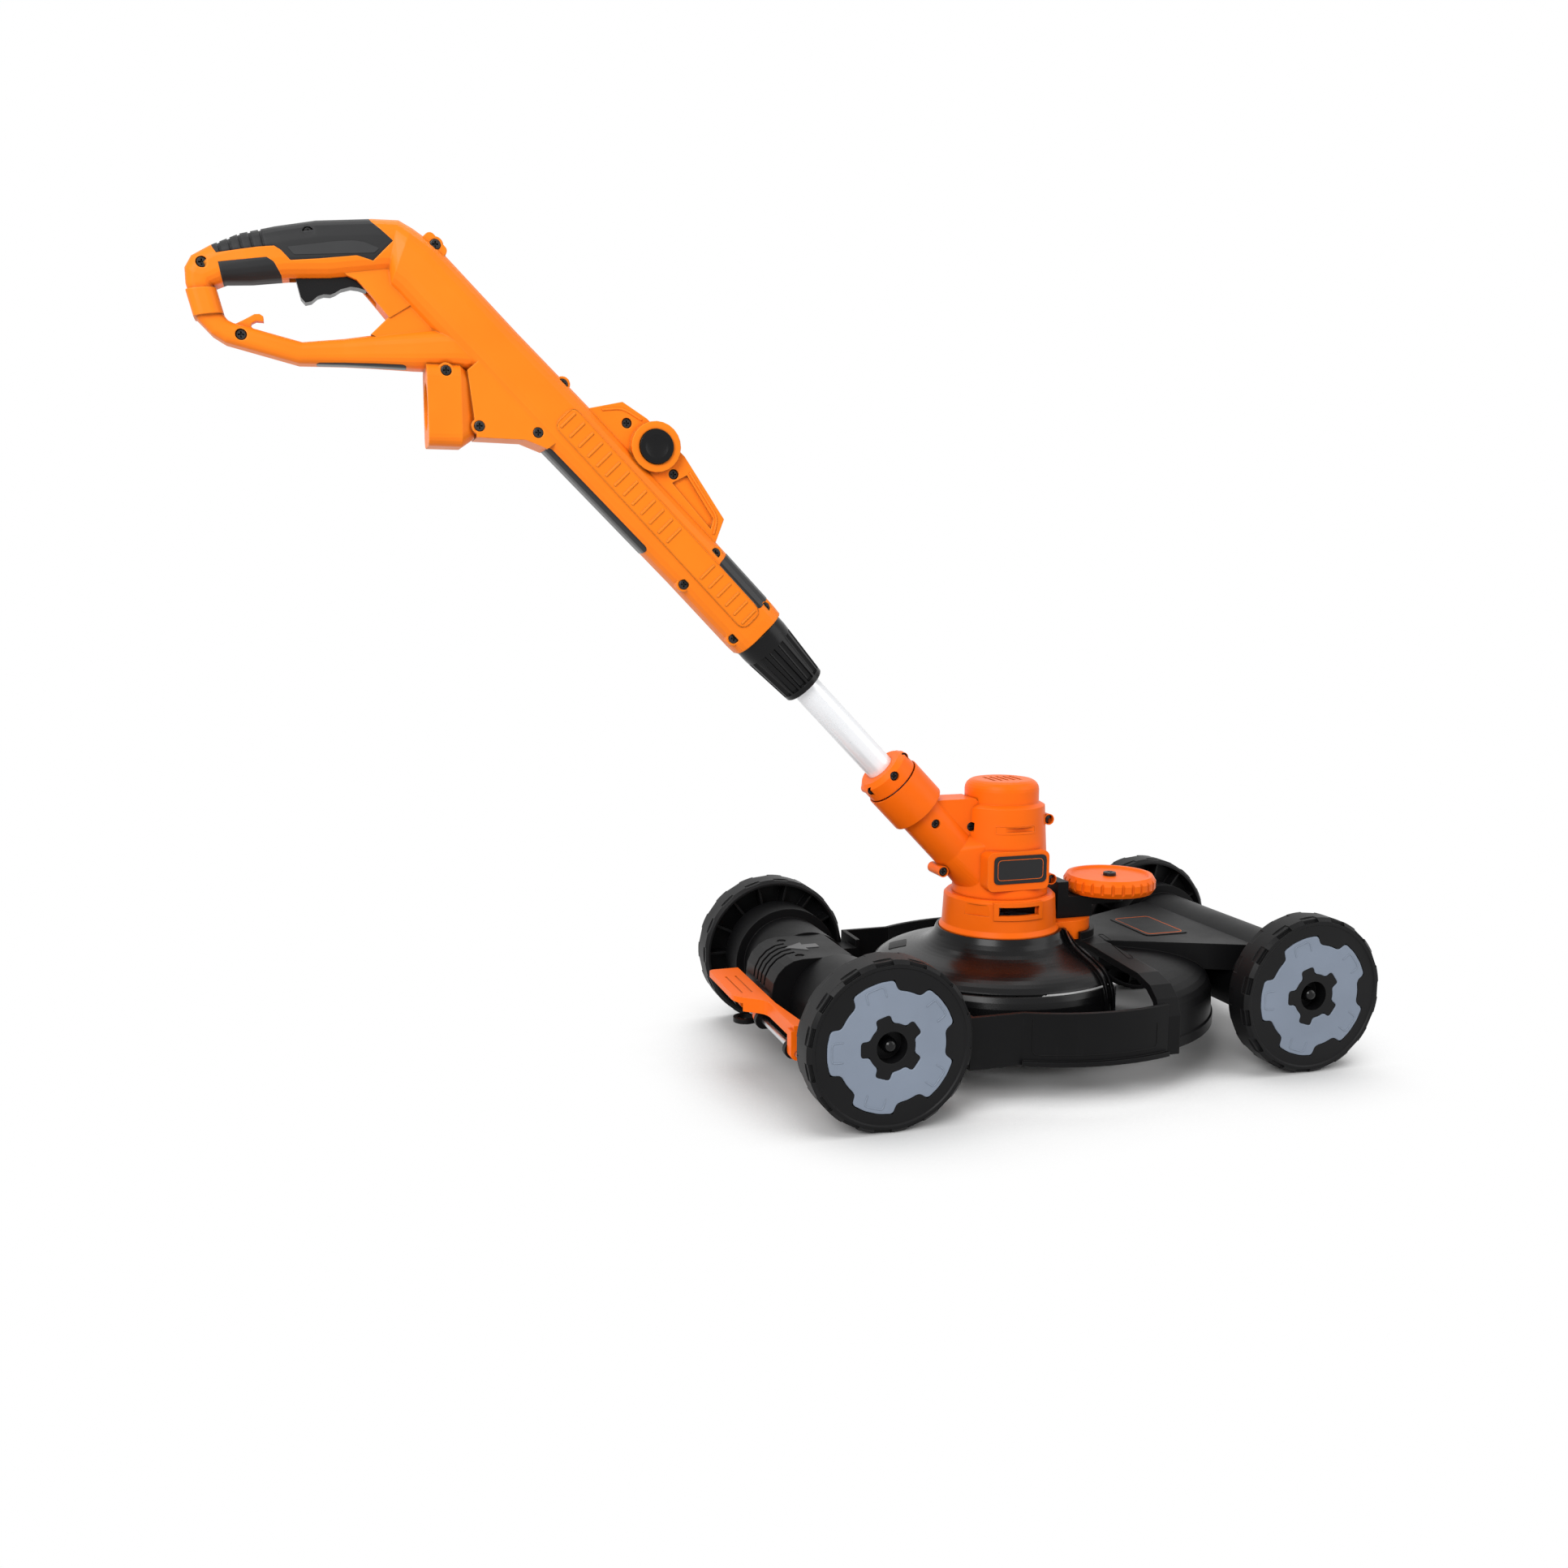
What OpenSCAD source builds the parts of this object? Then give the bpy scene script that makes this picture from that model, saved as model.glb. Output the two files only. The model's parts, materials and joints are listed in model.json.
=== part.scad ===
// Electric string trimmer latched into a four-wheeled mowing deck.
// x points forward, y to the left and z up. The floor is z = 0.

/* [Wheels and axles] */
// Diameter of the four wheels
wheel_d = 140; // [132:1:146]
// Width of a rear wheel
rear_wheel_w = 31; // [28:1:34]
// Width of a front wheel
front_wheel_w = 28; // [25:1:31]
// Distance between the two axles
wheelbase = 405; // [398:1:420]
// Width over the outer faces of the rear wheels
rear_track = 337; // [330:1:350]
// Width over the outer faces of the front wheels
front_track = 298; // [290:1:306]
// Diameter of the axle rods
axle_d = 8; // [6:0.5:10]
// Diameter of the grey wheel covers
cover_d = 108; // [102:1:112]
// Rear axle ahead of the middle of the machine
rear_axle_x = 10; // [0:1:20]

/* [Deck] */
// Motor axis ahead of the rear axle
head_offset = 172; // [168:1:176]
// Outer radius of the bulged side rails
rail_r = 172; // [168:1:176]
// Height of the side rails
rail_h = 44; // [38:1:48]
// Bottom edge of the rails below the axles
rail_drop = 32; // [28:1:38]
// Wall thickness of the deck moulding
deck_wall = 4; // [3:0.5:5]
// Diameter of the cross tube over the front axle
front_tube_d = 80; // [72:1:86]
// Diameter of the round housings beside the front wheels
front_bell_d = 96; // [90:1:102]
// Diameter of the round housings beside the rear wheels
rear_bell_d = 100; // [94:1:106]
// Diameter of the housing between the rear bells and the latch
rear_step_d = 84; // [76:1:90]
// Width of the latch housing
latch_w = 78; // [72:1:84]

/* [Trimmer head] */
// Diameter of the motor housing at its top
motor_top_d = 67; // [65:1:70]
// Diameter of the motor housing at its foot
motor_foot_d = 87; // [84:1:90]
// Height of the motor housing
motor_h = 103; // [98:1:110]
// Diameter of the base ring at its top
base_d = 101; // [98:1:104]
// Height of the base ring
base_h = 45; // [42:1:50]
// Underside of the base ring above the axles
base_rise = 34; // [32:1:38]
// Radius of the guard
guard_r = 121.5; // [119:0.5:125]
// Height of the guard
guard_h = 66; // [62:1:70]
// Gap between the tip of the cutting line and the guard
line_gap = 4; // [2:0.5:8]
// Diameter of the edge-guide wheel
edge_wheel_d = 85; // [78:1:88]
// Width of the edge-guide wheel
edge_wheel_w = 16; // [12:1:18]
// Edge-guide wheel's axis ahead of the motor axis
edge_reach = 114; // [112:1:120]

/* [Shaft] */
// Angle of the shaft above the floor
shaft_angle = 46.3; // [44:0.1:50]
// Where the shaft's axis meets the motor axis, above the axles
shaft_rise = 72; // [70:1:76]
// Outer diameter of the tube
tube_d = 25; // [23:0.5:26]
// Wall of the tube
tube_wall = 1.6; // [1:0.1:2.5]
// Length of the head's neck from the motor axis
neck_l = 118; // [115:1:122]
// Diameter of the head's neck
neck_d = 42; // [40:1:45]
// Length of bare tube between the swivel and the lock collar
bare_tube_l = 102; // [90:1:130]
// Length of the tube inside the handle
tube_inside_l = 280; // [270:1:290]
// Length of the lock collar
collar_l = 62; // [56:1:68]

/* [Handle] */
// Length of the handle's barrel from the lock collar to the bend
barrel_l = 403; // [395:1:415]
// Depth of the barrel
barrel_h = 50; // [47:1:54]
// Width of the barrel
barrel_w = 46; // [43:1:50]
// Angle between the barrel and the grip
grip_bend = 59; // [56:0.5:62]
// Length of the grip from the bend to the back of the loop
grip_l = 151; // [146:1:156]
// Depth of the grip
grip_h = 42; // [39:1:45]
// Width of the grip
grip_w = 38; // [35:1:41]
// Thickness of the soft grip skin
skin_t = 2.4; // [1.5:0.1:3]
// Diameter of the bracket's hub
hub_d = 40; // [37:1:43]

/* [Hidden] */

// Finishes
orange = "#ff6a14";
black = "#262626";
soft_black = "#303236";
grey = "#7f8b9a";
steel = "#b9bdc1";

// Clearances: running fit, parts that pass each other, and the overrun of cuts and laps of unions
fit_gap = 0.05;
clear = 0.4;
over = 1;
lap = 1;

// Facets of round pieces, and of round pieces inside the blended shells
$fn = 72;
shell_fn = 24;
corner_steps = 5;
dome_steps = 14;

// Places along the machine and heights above the floor
axle_z = wheel_d / 2;
front_axle_x = rear_axle_x + wheelbase;
head_x = rear_axle_x + head_offset;
rail_z = axle_z - rail_drop;
base_z = axle_z + base_rise;
shaft_z = axle_z + shaft_rise;
right = -1;
left = 1;

// Wheel details
tread_chamfer = 3;
rim_t = 5;
rim_lip_w = 6;
face_dip = 1;
web_t = 7;
wheel_hub_d = 44;
wheel_ribs = 14;
wheel_rib_t = 2;
tread_notches = 15;
notch_l = 15;
notch_w = 8;
notch_depth = 1;
notch_cut_w = 3;
notch_cut_depth = 4;
cover_t = 2.4;
cover_lobes = 5;
cover_notch_w = 34;
cover_notch_in_w = 22;
cover_notch_depth = 8;
cover_hole_d = 40;
cover_lug_w = 13;
cover_lug_h = 6;
well_d = 26;
well_h = 15;
axle_inset = 6;
axle_cap_d = 12.5;
axle_cap_gap = 1;
bell_gap = 1.5;

// Deck details
rail_shift = 30;
rail_front_a = 74.5;
rail_span = 43.5;
rail_lip = 3;
rail_lip_h = 4;
wheel_gap = 4;
rear_bell_w = 36;
front_bell_w = 23;
arm_w = 26;
arm_h = 36;
bell_open_drop = 30;
bridge_back = 68;
bridge_w = 20;
bridge_t = 6;
bridge_shares = [[0.28, 1], [0.78, 0.93], [0.90, 0.85], [0.965, 0.72], [1, 0.5], [1, 0]];
shroud_shift = 38;
shroud_drop = 23;
shroud_dome_h = 46;
shroud_top_drop = 5;
shroud_lip = 1.5;
shroud_lip_h = 10;
shroud_round = 3.6;
shroud_sweep = 160;
plateau_top_drop = 0.5;
plateau_back_w = 68;
plateau_front_w = 186;
plateau_back_gap = 18;
plateau_h = 24;
lobe_r = 27;
lobe_reach = 90;
lobe_lip_t = 4;
lobe_lip_h = 7;

// Latch housing, latch and pedal details
latch_top = 40;
latch_bottom = 28;
latch_front = 14;
latch_back = 58;
latch_round = 28;
latch_foot_round = 12;
groove_count = 4;
groove_pitch = 10;
groove_w = 4;
groove_depth = 2.5;
bolt_w = 18;
bolt_h = 9;
bolt_back = 30;
bolt_nose = 10;
bolt_rise = 9;
tab_t = 6;
tab_w = 28;
tab_gap = 0.5;
hinge_back = 64;
hinge_drop = 12;
pin_d = 5;
knuckle_d = 11;
lug_d = 15;
lug_t = 6;
lug_inset = 3;
knuckle_l = 10;
paddle_back = 26;
paddle_front = 2;
paddle_left = 52;
paddle_right = 26;
paddle_t = 5;
paddle_rise = 18;
paddle_round = 6;
paddle_grooves = 2;
paddle_groove_w = 1.6;
paddle_groove_depth = 0.8;
strap_back = 3;
strap_front = 8;
strap_turn = 44;
strap_start = 62;
strap_end = 126;
strap_h = 12;
side_lug_y = 116;
eye_d = 22;
eye_bore_d = 13;
eye_t = 4;
eye_drop = 27;
eye_y = 14;
eye_back = 66;

// Head details
head_wall = 3;
guard_t = 3;
guard_hole_d = 92;
guard_rim_t = 2;
guard_rim_h = 12;
guard_rim_gap = 0.6;
guard_lip_x = 60;
guard_lip_t = 3.5;
guard_lip_h = 3;
guard_steps = 10;
// Curve of the guard from its rim to its lower edge, as shares of its width and height
guard_upper_shares = [[0, 1], [0.10, 0.71], [0.34, 0.74], [0.62, 0.66]];
guard_lower_shares = [[0.62, 0.66], [0.90, 0.576], [1, 0.4545], [1, 0]];
blade_h = 14;
blade_t = 1.6;
blade_lap = 3;
blade_gap = 0.3;
base_flange_d = 109;
base_flange_h = 17;
base_belt_d = 104;
base_foot_h = 13;
base_chamfer = 2.5;
base_floor_t = 4;
lobe_drop = 4;
vent_w = 38;
vent_h = 8;
vent_rise = 32;
vent_frame = 4;
vent_proud = 2;
vent_angles = [-95, 95];
blank_w = 24;
blank_depth = 1;
blank_angles = [-139, 139];
motor_step_d = 78;
motor_step_h = 23;
motor_round = 9;
badge_w = 60;
badge_h = 35;
badge_z = 26;
badge_shift = 3;
badge_round = 6;
badge_proud = 43.5;
mark_slot_w = 34;
mark_slot_h = 4;
mark_slot_z = 60;
mark_slot_depth = 1.5;
top_slots = 5;
top_slot_w = 3;
top_slot_pitch = 6.4;
top_slot_l = 26;
top_slot_depth = 9;
web_w = 30;
web_drop = 15;
blend_share = 0.6;
blend_d = 75;
blend_h = 48;
blend_fn = 48;
lug_boss_d = 10;
// Each row: place along and across the neck, length, and seat from the middle plane, as shares
neck_screw_shares = [[0.89, -0.01, 0.25, 0.47], [0.542, -0.202, 0.9, 0.29], [0.642, 0.186, 0.9, 0.36]];
motor_screw_shares = [[0.435, 0.647], [0.485, 0.109]];
motor_screw_y = 20.5;
motor_screw_l = 8;
bearing_d = 22;
bearing_t = 7;
upper_bearing_d = 19;
upper_bearing_t = 6;
motor_shaft_d = 8;
stator_gap = 0.2;
stator_bore_d = 40;
stator_h = 64;
rotor_d = 38;
rotor_h = 50;
rotor_rise = 1;
commutator_d = 22;
commutator_h = 8;
fan_d = 80;
fan_h = 14;
fan_hub_d = 18;
fan_blades = 9;
fan_blade_t = 2;
fan_disc_t = 3;
spool_house_d = 92;
spool_house_h = 32;
spool_house_t = 3;
spool_gap = 6;
spool_core_d = 30;
spool_flange_t = 2;
spool_cap_h = 10;
spool_cap_ribs = 8;
spool_rib_w = 6;
spool_rib_h = 2;
line_d = 2;
line_hole_d = 6;
line_rise = 9;
line_angle = 160;
bracket_w = 26;
bracket_post_l = 11;
bracket_post_h = 34;
bracket_arm_t = 9;
bracket_arm_rise = 11;
bracket_start = 53;
edge_boss_d = 18;
edge_pin_d = 6;
edge_head_d = 12;
edge_head_h = 3;
edge_gap = 0.4;
edge_rib_count = 28;
edge_rib_depth = 1.5;
edge_dish = 2;
edge_rim_w = 6;
edge_low_share = 0.3;
edge_high_share = 0.7;

// Shaft details
socket_start = 66;
swivel_gap = 2;
sleeve_d = 52;
sleeve_l = 34;
sleeve_lip = 8;
sleeve_floor = 6;
cap_gap = 1;
swivel_cap_d = 49;
swivel_cap_l = 17;
swivel_chamfer = 4;
swivel_screw_s_share = 0.62;
swivel_boss_d = 9;
// Each row: place across the swivel cap and seat from the middle plane, as shares
swivel_screw_shares = [[-0.41, 0.16], [0, 0.47], [0.41, 0.16]];
collar_d = 46;
collar_end_d = 36;
collar_band = 10;
collar_flutes = 14;
flute_d = 7;
flute_depth = 1.8;
nose_d = 34;
nose_l = 22;
bush_d = 30;
bush_l = 40;
bush_slots = 4;
bush_slot_w = 2;
bush_flange_t = 3;
bush_flange_d = 33;
bush_grip_gap = 0.3;
shoulder_gap = 1;
bore_gap = 0.7;

// Handle details
plate_t = 0.6;
grip_drop = 7.5;
round_share = 0.36;
// Each row: place along and across the barrel, depth, width, turn of the section in degrees
barrel_shares = [
    [0, 0, 0.98, 0.98, 0], [0.02, 0, 1, 1, 0], [0.20, 0, 1, 1, 0], [0.57, -0.007, 1, 1, 0],
    [0.75, -0.010, 0.96, 1, 0], [0.915, -0.012, 0.96, 1, 0], [0.955, -0.012, 0.96, 0.99, 10],
    [0.988, -0.018, 0.95, 0.97, 25]
];
// Each row: place along and above the grip, depth, width, turn of the section in degrees
loop_shares = [
    [0.005, 0.032, 0.95, 1, -25], [0.07, 0.045, 0.95, 1, 3], [0.34, 0.070, 1, 1, 0], [0.53, 0.086, 0.90, 1, 0],
    [0.70, 0.089, 0.82, 0.96, 0], [0.83, 0.083, 0.64, 0.88, 8], [0.913, 0.060, 0.60, 0.84, 20],
    [0.936, 0.033, 0.55, 0.80, 40], [0.942, -0.005, 0.46, 0.76, 67], [0.940, -0.078, 0.43, 0.74, 88],
    [0.938, -0.143, 0.43, 0.74, 92], [0.904, -0.205, 0.37, 0.72, 118], [0.868, -0.238, 0.37, 0.71, 143],
    [0.813, -0.265, 0.37, 0.70, 155], [0.569, -0.386, 0.38, 0.70, 156], [0.365, -0.417, 0.45, 0.72, 167],
    [0.22, -0.437, 0.55, 0.78, 167],
    [0.035, -0.467, 0.66, 0.90, 167], [-0.165, -0.497, 0.76, 1.02, 165], [-0.36, -0.540, 0.85, 1.06, 160]
];
band_shares = [[0.941, -0.022, 0.50, 0.90, 84], [0.939, -0.141, 0.50, 0.90, 86]];
grip_rows = 7;
top_grip_shares = [
    [0.84, 0.30], [0.84, 0.155], [0.828, 0.122], [0.637, 0.116], [0.561, 0.109], [0.535, 0.085], [0.504, 0.033],
    [0.37, 0.019], [0.193, 0.006], [0.122, -0.029], [0.006, 0.046], [0.084, 0.153], [0.12, 0.30]
];
lower_grip_shares = [[0.83, 0.08], [0.608, 0.064], [0.581, 0.038], [0.563, -0.023], [0.57, -0.10], [0.84, -0.10]];
// Grooves across the rear of the top grip
grip_groove_shares = [0.60, 0.65, 0.70, 0.75, 0.80];
grip_groove_w = 2;
grip_groove_depth = 1;
gusset_shares = [[0.22, -0.36], [0.10, -0.285], [0.02, -0.16], [-0.25, -0.30], [-0.20, -0.46], [0.10, -0.44]];
gusset_w = 24;
web_shares = [
    [0.29, -0.03], [0.26, -0.071], [0.22, -0.098], [0.182, -0.163], [0.112, -0.30], [0, -0.26], [-0.05, -0.10], [0.05, 0]
];
web_plate_w = 26;
hook_shares = [
    [0.84, -0.20], [0.782, -0.184], [0.733, -0.168], [0.709, -0.171], [0.695, -0.185], [0.70, -0.209], [0.732, -0.20],
    [0.756, -0.206], [0.765, -0.219], [0.749, -0.244], [0.714, -0.259], [0.74, -0.30], [0.83, -0.26]
];
hook_w = 9;
// Bracket on top of the barrel, as shares of the barrel's length and depth
fin_shares = [[0.58, 0.16], [0.525, 0.887], [0.47, 1], [0.365, 1.048], [0.22, 0.838], [0.18, 0.16]];
fin_w = 26;
fin_recess = 2.5;
fin_recess_shares = [[0.345, 0.605], [0.335, 0.87], [0.235, 0.71], [0.225, 0.564]];
hub_s_share = 0.419;
hub_t_share = 0.782;
hub_w = 40;
button_d = 27;
button_proud = 2;
button_l = 13;
button_dish_d = 60;
button_dish = 1.5;
// Ribbed panel on both sides of the barrel
panel_start_share = 0.035;
panel_end_share = 0.585;
panel_h = 22;
panel_proud = 0.8;
panel_ribs = 22;
panel_gap_ribs = [6, 7, 8];
panel_rib_w = 1.6;
panel_rib_h = 16;
panel_rib_proud = 0.7;
// Power inlet
inlet_s_share = 0.769;
inlet_t_share = -1.41;
inlet_tilt = 43.7;
inlet_h = 61;
inlet_w = 46;
inlet_l = 25;
inlet_taper_l = 10;
inlet_taper = 7;
inlet_round = 9;
inlet_well_d = 36;
inlet_well_h = 26;
inlet_socket_d = 28;
inlet_socket_l = 16;
blade_pin_w = 6.3;
blade_pin_t = 1.5;
blade_pin_l = 17;
blade_pin_pitch = 12.7;
belly_shares = [[0.76, 0], [0.765, -0.605], [0.665, -1.209], [0.60, -0.685], [0.56, -0.532], [0.55, 0]];
belly_w = 42;
// Trigger and switch, as shares of the grip's length
trigger_shares = [
    [0.50, -0.02], [0.50, -0.13], [0.485, -0.158], [0.455, -0.157], [0.42, -0.138], [0.39, -0.134], [0.36, -0.141],
    [0.335, -0.136], [0.305, -0.124], [0.255, -0.12], [0.22, -0.131], [0.185, -0.15], [0.14, -0.12], [0.09, -0.02]
];
trigger_w = 15;
trigger_pivot_g_share = 0.13;
trigger_pivot_h_share = -0.055;
trigger_pin_d = 4;
pin_share = 0.3;
trigger_spring_shares = [0.45, -0.02, 0.06];
slot_shares = [[0.53, 0.045], [0.53, -0.25], [0.16, -0.25], [0.14, -0.165], [0.06, -0.08], [0.06, 0.045]];
switch_l = 34;
switch_h = 13;
switch_w = 15;
switch_g_share = 0.25;
switch_h_share = 0.092;
plunger_d = 5;
// Springs
spring_wire = 1.2;
spring_sides = 6;
spring_rings = 8;
// Screws: head, shank, and places as shares of the barrel or the grip with the seat's half width
screw_head_d = 8;
screw_head_h = 3.2;
screw_d = 3.6;
screw_l = 20;
screw_sink = 1.2;
screw_gap = 0.15;
barrel_screw_shares = [
    [0.79, -0.854, 0.5], [0.677, -1.064, 0.5], [0.594, -0.467, 0.48], [0.627, 0.371, 0.30],
    [0.49, 0.709, 0.28], [0.355, 0.717, 0.28], [0.186, 0.33, 0.44], [0.186, -0.403, 0.42],
    [0.034, 0.3385, 0.42], [0.034, -0.403, 0.40], [0.964, 0.36, 0.34]
];
grip_screw_shares = [[0.903, 0.093, 0.40], [0.818, -0.258, 0.34], [0.389, 0.148, 0.44]];
barrel_lug_shares = [0.964, 0.34];
barrel_lug_h = 11;
barrel_lug_l = 20;
barrel_lug_w = 27;
barrel_lug_round = 4;
boss_d = 12;

// Derived places on the wheels
function wheel_y(track, w) = track / 2 - w;
rear_hub_y = wheel_y(rear_track, rear_wheel_w);
front_hub_y = wheel_y(front_track, front_wheel_w);
rear_bell_y = rear_hub_y - bell_gap;
front_bell_y = front_hub_y - bell_gap;
cover_r = cover_d / 2;

// Derived places along the shaft
sleeve_s = neck_l + swivel_gap;
swivel_cap_s = sleeve_s + sleeve_l + cap_gap;
collar_s = swivel_cap_s + swivel_cap_l + bare_tube_l;
handle_s = collar_s + collar_l + shoulder_gap;
tube_l = handle_s + tube_inside_l - socket_start;
bore_l = tube_inside_l + barrel_h / 2;

// Derived places on the deck
rail_x = head_x + rail_shift;
bridge_half = sqrt(pow(rail_r, 2) - pow(bridge_back + bridge_w / 2 - rail_shift, 2));
tail_x = rear_axle_x + wheel_d / 2 + wheel_gap;
tail_end_x = rail_x - rail_r * cos(180 - rail_front_a - rail_span) + lap;
tail_y = rail_r * sin(rail_front_a + rail_span);
step_y = latch_w / 2 + clear;
shroud_x = head_x + shroud_shift;
shroud_z = base_z - shroud_top_drop - shroud_dome_h;
shroud_r = front_axle_x - front_tube_d / 2 + deck_wall - shroud_x;
hinge_x = rear_axle_x - hinge_back;
hinge_z = axle_z - hinge_drop;
guard_z = base_z + guard_rim_h - guard_h;
line_reach = guard_r - guard_t - line_gap;
blade_in = sqrt(pow(line_reach + over, 2) - pow(guard_lip_x, 2));
blade_out = sqrt(pow(guard_r - guard_t, 2) - pow(guard_lip_x, 2)) + blade_lap;
tab_z = axle_z + bolt_rise - tab_gap - tab_t;

// Derived places on the head
motor_z = base_z + base_h;
motor_top_z = motor_z + motor_h;
spool_z = base_z - spool_gap - spool_house_h;
edge_x = head_x + edge_reach;
lobe_z = base_z + base_flange_h;
arm_z = lobe_z + bracket_arm_rise;
edge_z = arm_z + bracket_arm_t + edge_gap;

// One rounded corner, and a rounded rectangle, as points
function corner(x, y, r, a) =
    [for (i = [0 : corner_steps]) [x + r * cos(a + 90 * i / corner_steps), y + r * sin(a + 90 * i / corner_steps)]];
function rounded(w, h, r) = concat(
    corner(w / 2 - r, h / 2 - r, r, 0), corner(r - w / 2, h / 2 - r, r, 90),
    corner(r - w / 2, r - h / 2, r, 180), corner(w / 2 - r, r - h / 2, r, 270)
);
// Quarter of a rounded dome, from its edge to its crown
function dome(r, h, n) =
    [for (i = [0 : dome_steps]) [r * pow(cos(90 * i / dome_steps), 2 / n), h * pow(sin(90 * i / dome_steps), 2 / n)]];
// Cubic curve through four control points
function bezier(p, t) =
    p[0] * pow(1 - t, 3) + p[1] * 3 * t * pow(1 - t, 2) + p[2] * 3 * t * t * (1 - t) + p[3] * pow(t, 3);
// Shares turned into places
function scaled(shares, unit) = [for (p = shares) [p[1] * unit, p[0] * unit]];
function on_barrel(shares) = [for (p = shares) [p[1] * barrel_h, p[0] * barrel_l]];

// Frame of the shaft: x across it, z up along it from the motor axis
module on_shaft(s = 0)
    translate([head_x, 0, shaft_z]) rotate([0, shaft_angle - 90, 0]) translate([0, 0, s]) children();

// Frame of the grip: z runs back along it, x is up
module on_grip()
    on_shaft(handle_s + barrel_l) translate([-grip_drop, 0, 0]) rotate([0, -grip_bend, 0]) children();

// Flat outline in x and z, given a width about the middle plane
module plate_y(points, w)
    rotate([90, 0, 0]) linear_extrude(w, center = true) polygon(points);

module rod_y(d, y0, y1)
    translate([0, y0, 0]) rotate([-90, 0, 0]) cylinder(d = d, h = y1 - y0);

module ring(d, bore, h)
    difference() {
        cylinder(d = d, h = h);
        translate([0, 0, -over]) cylinder(d = bore, h = h + 2 * over);
    }

// Half space on one side of the middle plane
module side_half(side, size)
    translate([-size, side > 0 ? 0 : -2 * size, -size]) cube([2 * size, 2 * size, 2 * size]);

// Coil spring along z, as one swept tube
function coil_point(d, pitch, a, k, wire) =
    let (r = d / 2 + wire / 2 * cos(k), z = pitch * a / 360 + wire / 2 * sin(k)) [r * cos(a), r * sin(a), z];
module coil_spring(d, l, turns, wire = spring_wire) {
    rings = turns * spring_rings;
    pitch = (l - wire) / turns;
    points = [
        for (i = [0 : rings], k = [0 : spring_sides - 1])
            coil_point(d - wire, pitch, 360 * i / spring_rings, 360 * k / spring_sides, wire)
    ];
    sides = [
        for (i = [0 : rings - 1], k = [0 : spring_sides - 1])
            let (a = i * spring_sides + k, b = i * spring_sides + (k + 1) % spring_sides)
                each [[a, b, a + spring_sides], [b, b + spring_sides, a + spring_sides]]
    ];
    last = rings * spring_sides;
    first_cap = [for (k = [1 : spring_sides - 2]) [0, k + 1, k]];
    last_cap = [for (k = [1 : spring_sides - 2]) [last, last + k, last + k + 1]];
    translate([0, 0, wire / 2]) polyhedron(points, concat(sides, first_cap, last_cap));
}

// Screw along z, with its head's face at z = 0, and the hole it sits in
module screw(l = screw_l) {
    cylinder(d = screw_head_d, h = screw_head_h);
    cylinder(d = screw_d, h = l);
}
module screw_or_hole(hole, l)
    if (hole) screw_hole(l, 3 * screw_sink);
    else screw(l);
module screw_hole(l = screw_l, top = screw_sink) {
    translate([0, 0, -top - over]) cylinder(d = screw_head_d + 2 * screw_gap, h = top + over + screw_head_h);
    cylinder(d = screw_d + 2 * screw_gap, h = l + screw_gap);
}

// Wheels

// Frame of one wheel: z runs out along its axle from its inner face
module on_wheel(x, track, w, side)
    translate([x, side * wheel_y(track, w), axle_z]) rotate([-90 * side, 0, 0]) children();

// Notch between two lobes of a cover, wider towards the rim
module cover_notch(gap) {
    x0 = cover_r - 2 * cover_notch_depth;
    x1 = cover_r + cover_notch_depth;
    flare = cover_notch_w - cover_notch_in_w;
    w0 = cover_notch_in_w / 2 - flare / 2 - gap;
    w1 = cover_notch_w / 2 + flare / 2 - gap;
    polygon([[x0, -w0], [x1, -w1], [x1, w1], [x0, w0]]);
}

module cover_outline(gap)
    difference() {
        circle(d = cover_d + 2 * gap);
        for (i = [0 : cover_lobes - 1]) rotate(i * 360 / cover_lobes) difference() {
            cover_notch(gap);
            circle(d = cover_d - 2 * cover_notch_depth + 2 * gap);
        }
        circle(d = cover_hole_d - 2 * gap);
        for (i = [0 : cover_lobes - 1]) rotate((i + 0.5) * 360 / cover_lobes)
            translate([0, gap - cover_lug_w / 2])
                square([cover_hole_d / 2 + cover_lug_h - gap, cover_lug_w - 2 * gap]);
    }

module wheel(w) {
    r = wheel_d / 2;
    face = w - face_dip;
    color(black) difference() {
        union() {
            rotate_extrude() polygon([
                [0, 0], [wheel_hub_d / 2, 0], [wheel_hub_d / 2, face - web_t], [r - rim_t, face - web_t], [r - rim_t, 0],
                [r - tread_chamfer, 0], [r, tread_chamfer], [r, w - tread_chamfer], [r - tread_chamfer, w],
                [r - rim_lip_w, w], [r - rim_lip_w - face_dip, face], [0, face]
            ]);
            for (i = [0 : wheel_ribs - 1]) rotate(i * 360 / wheel_ribs)
                translate([wheel_hub_d / 2 - lap, -wheel_rib_t / 2, w / 4])
                    cube([r - rim_t - wheel_hub_d / 2 + 2 * lap, wheel_rib_t, face - web_t - w / 4 + lap]);
        }
        translate([0, 0, face - cover_t]) linear_extrude(cover_t + over) cover_outline(clear);
        translate([0, 0, w - well_h]) cylinder(d = well_d, h = well_h + over);
        translate([0, 0, -over]) cylinder(d = axle_d + 2 * fit_gap, h = w);
        for (i = [0 : tread_notches - 1]) rotate(i * 360 / tread_notches) {
            translate([r - notch_depth, -notch_l / 2, w - notch_w]) cube([notch_depth + over, notch_l, notch_w + over]);
            translate([r - notch_cut_depth, -notch_l / 2, w - notch_cut_w])
                cube([notch_cut_depth + over, notch_l, notch_cut_w + over]);
            rotate(180 / tread_notches) translate([r - notch_depth, -notch_l / 2, -over])
                cube([notch_depth + over, notch_l, notch_w + over]);
        }
    }
}

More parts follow.
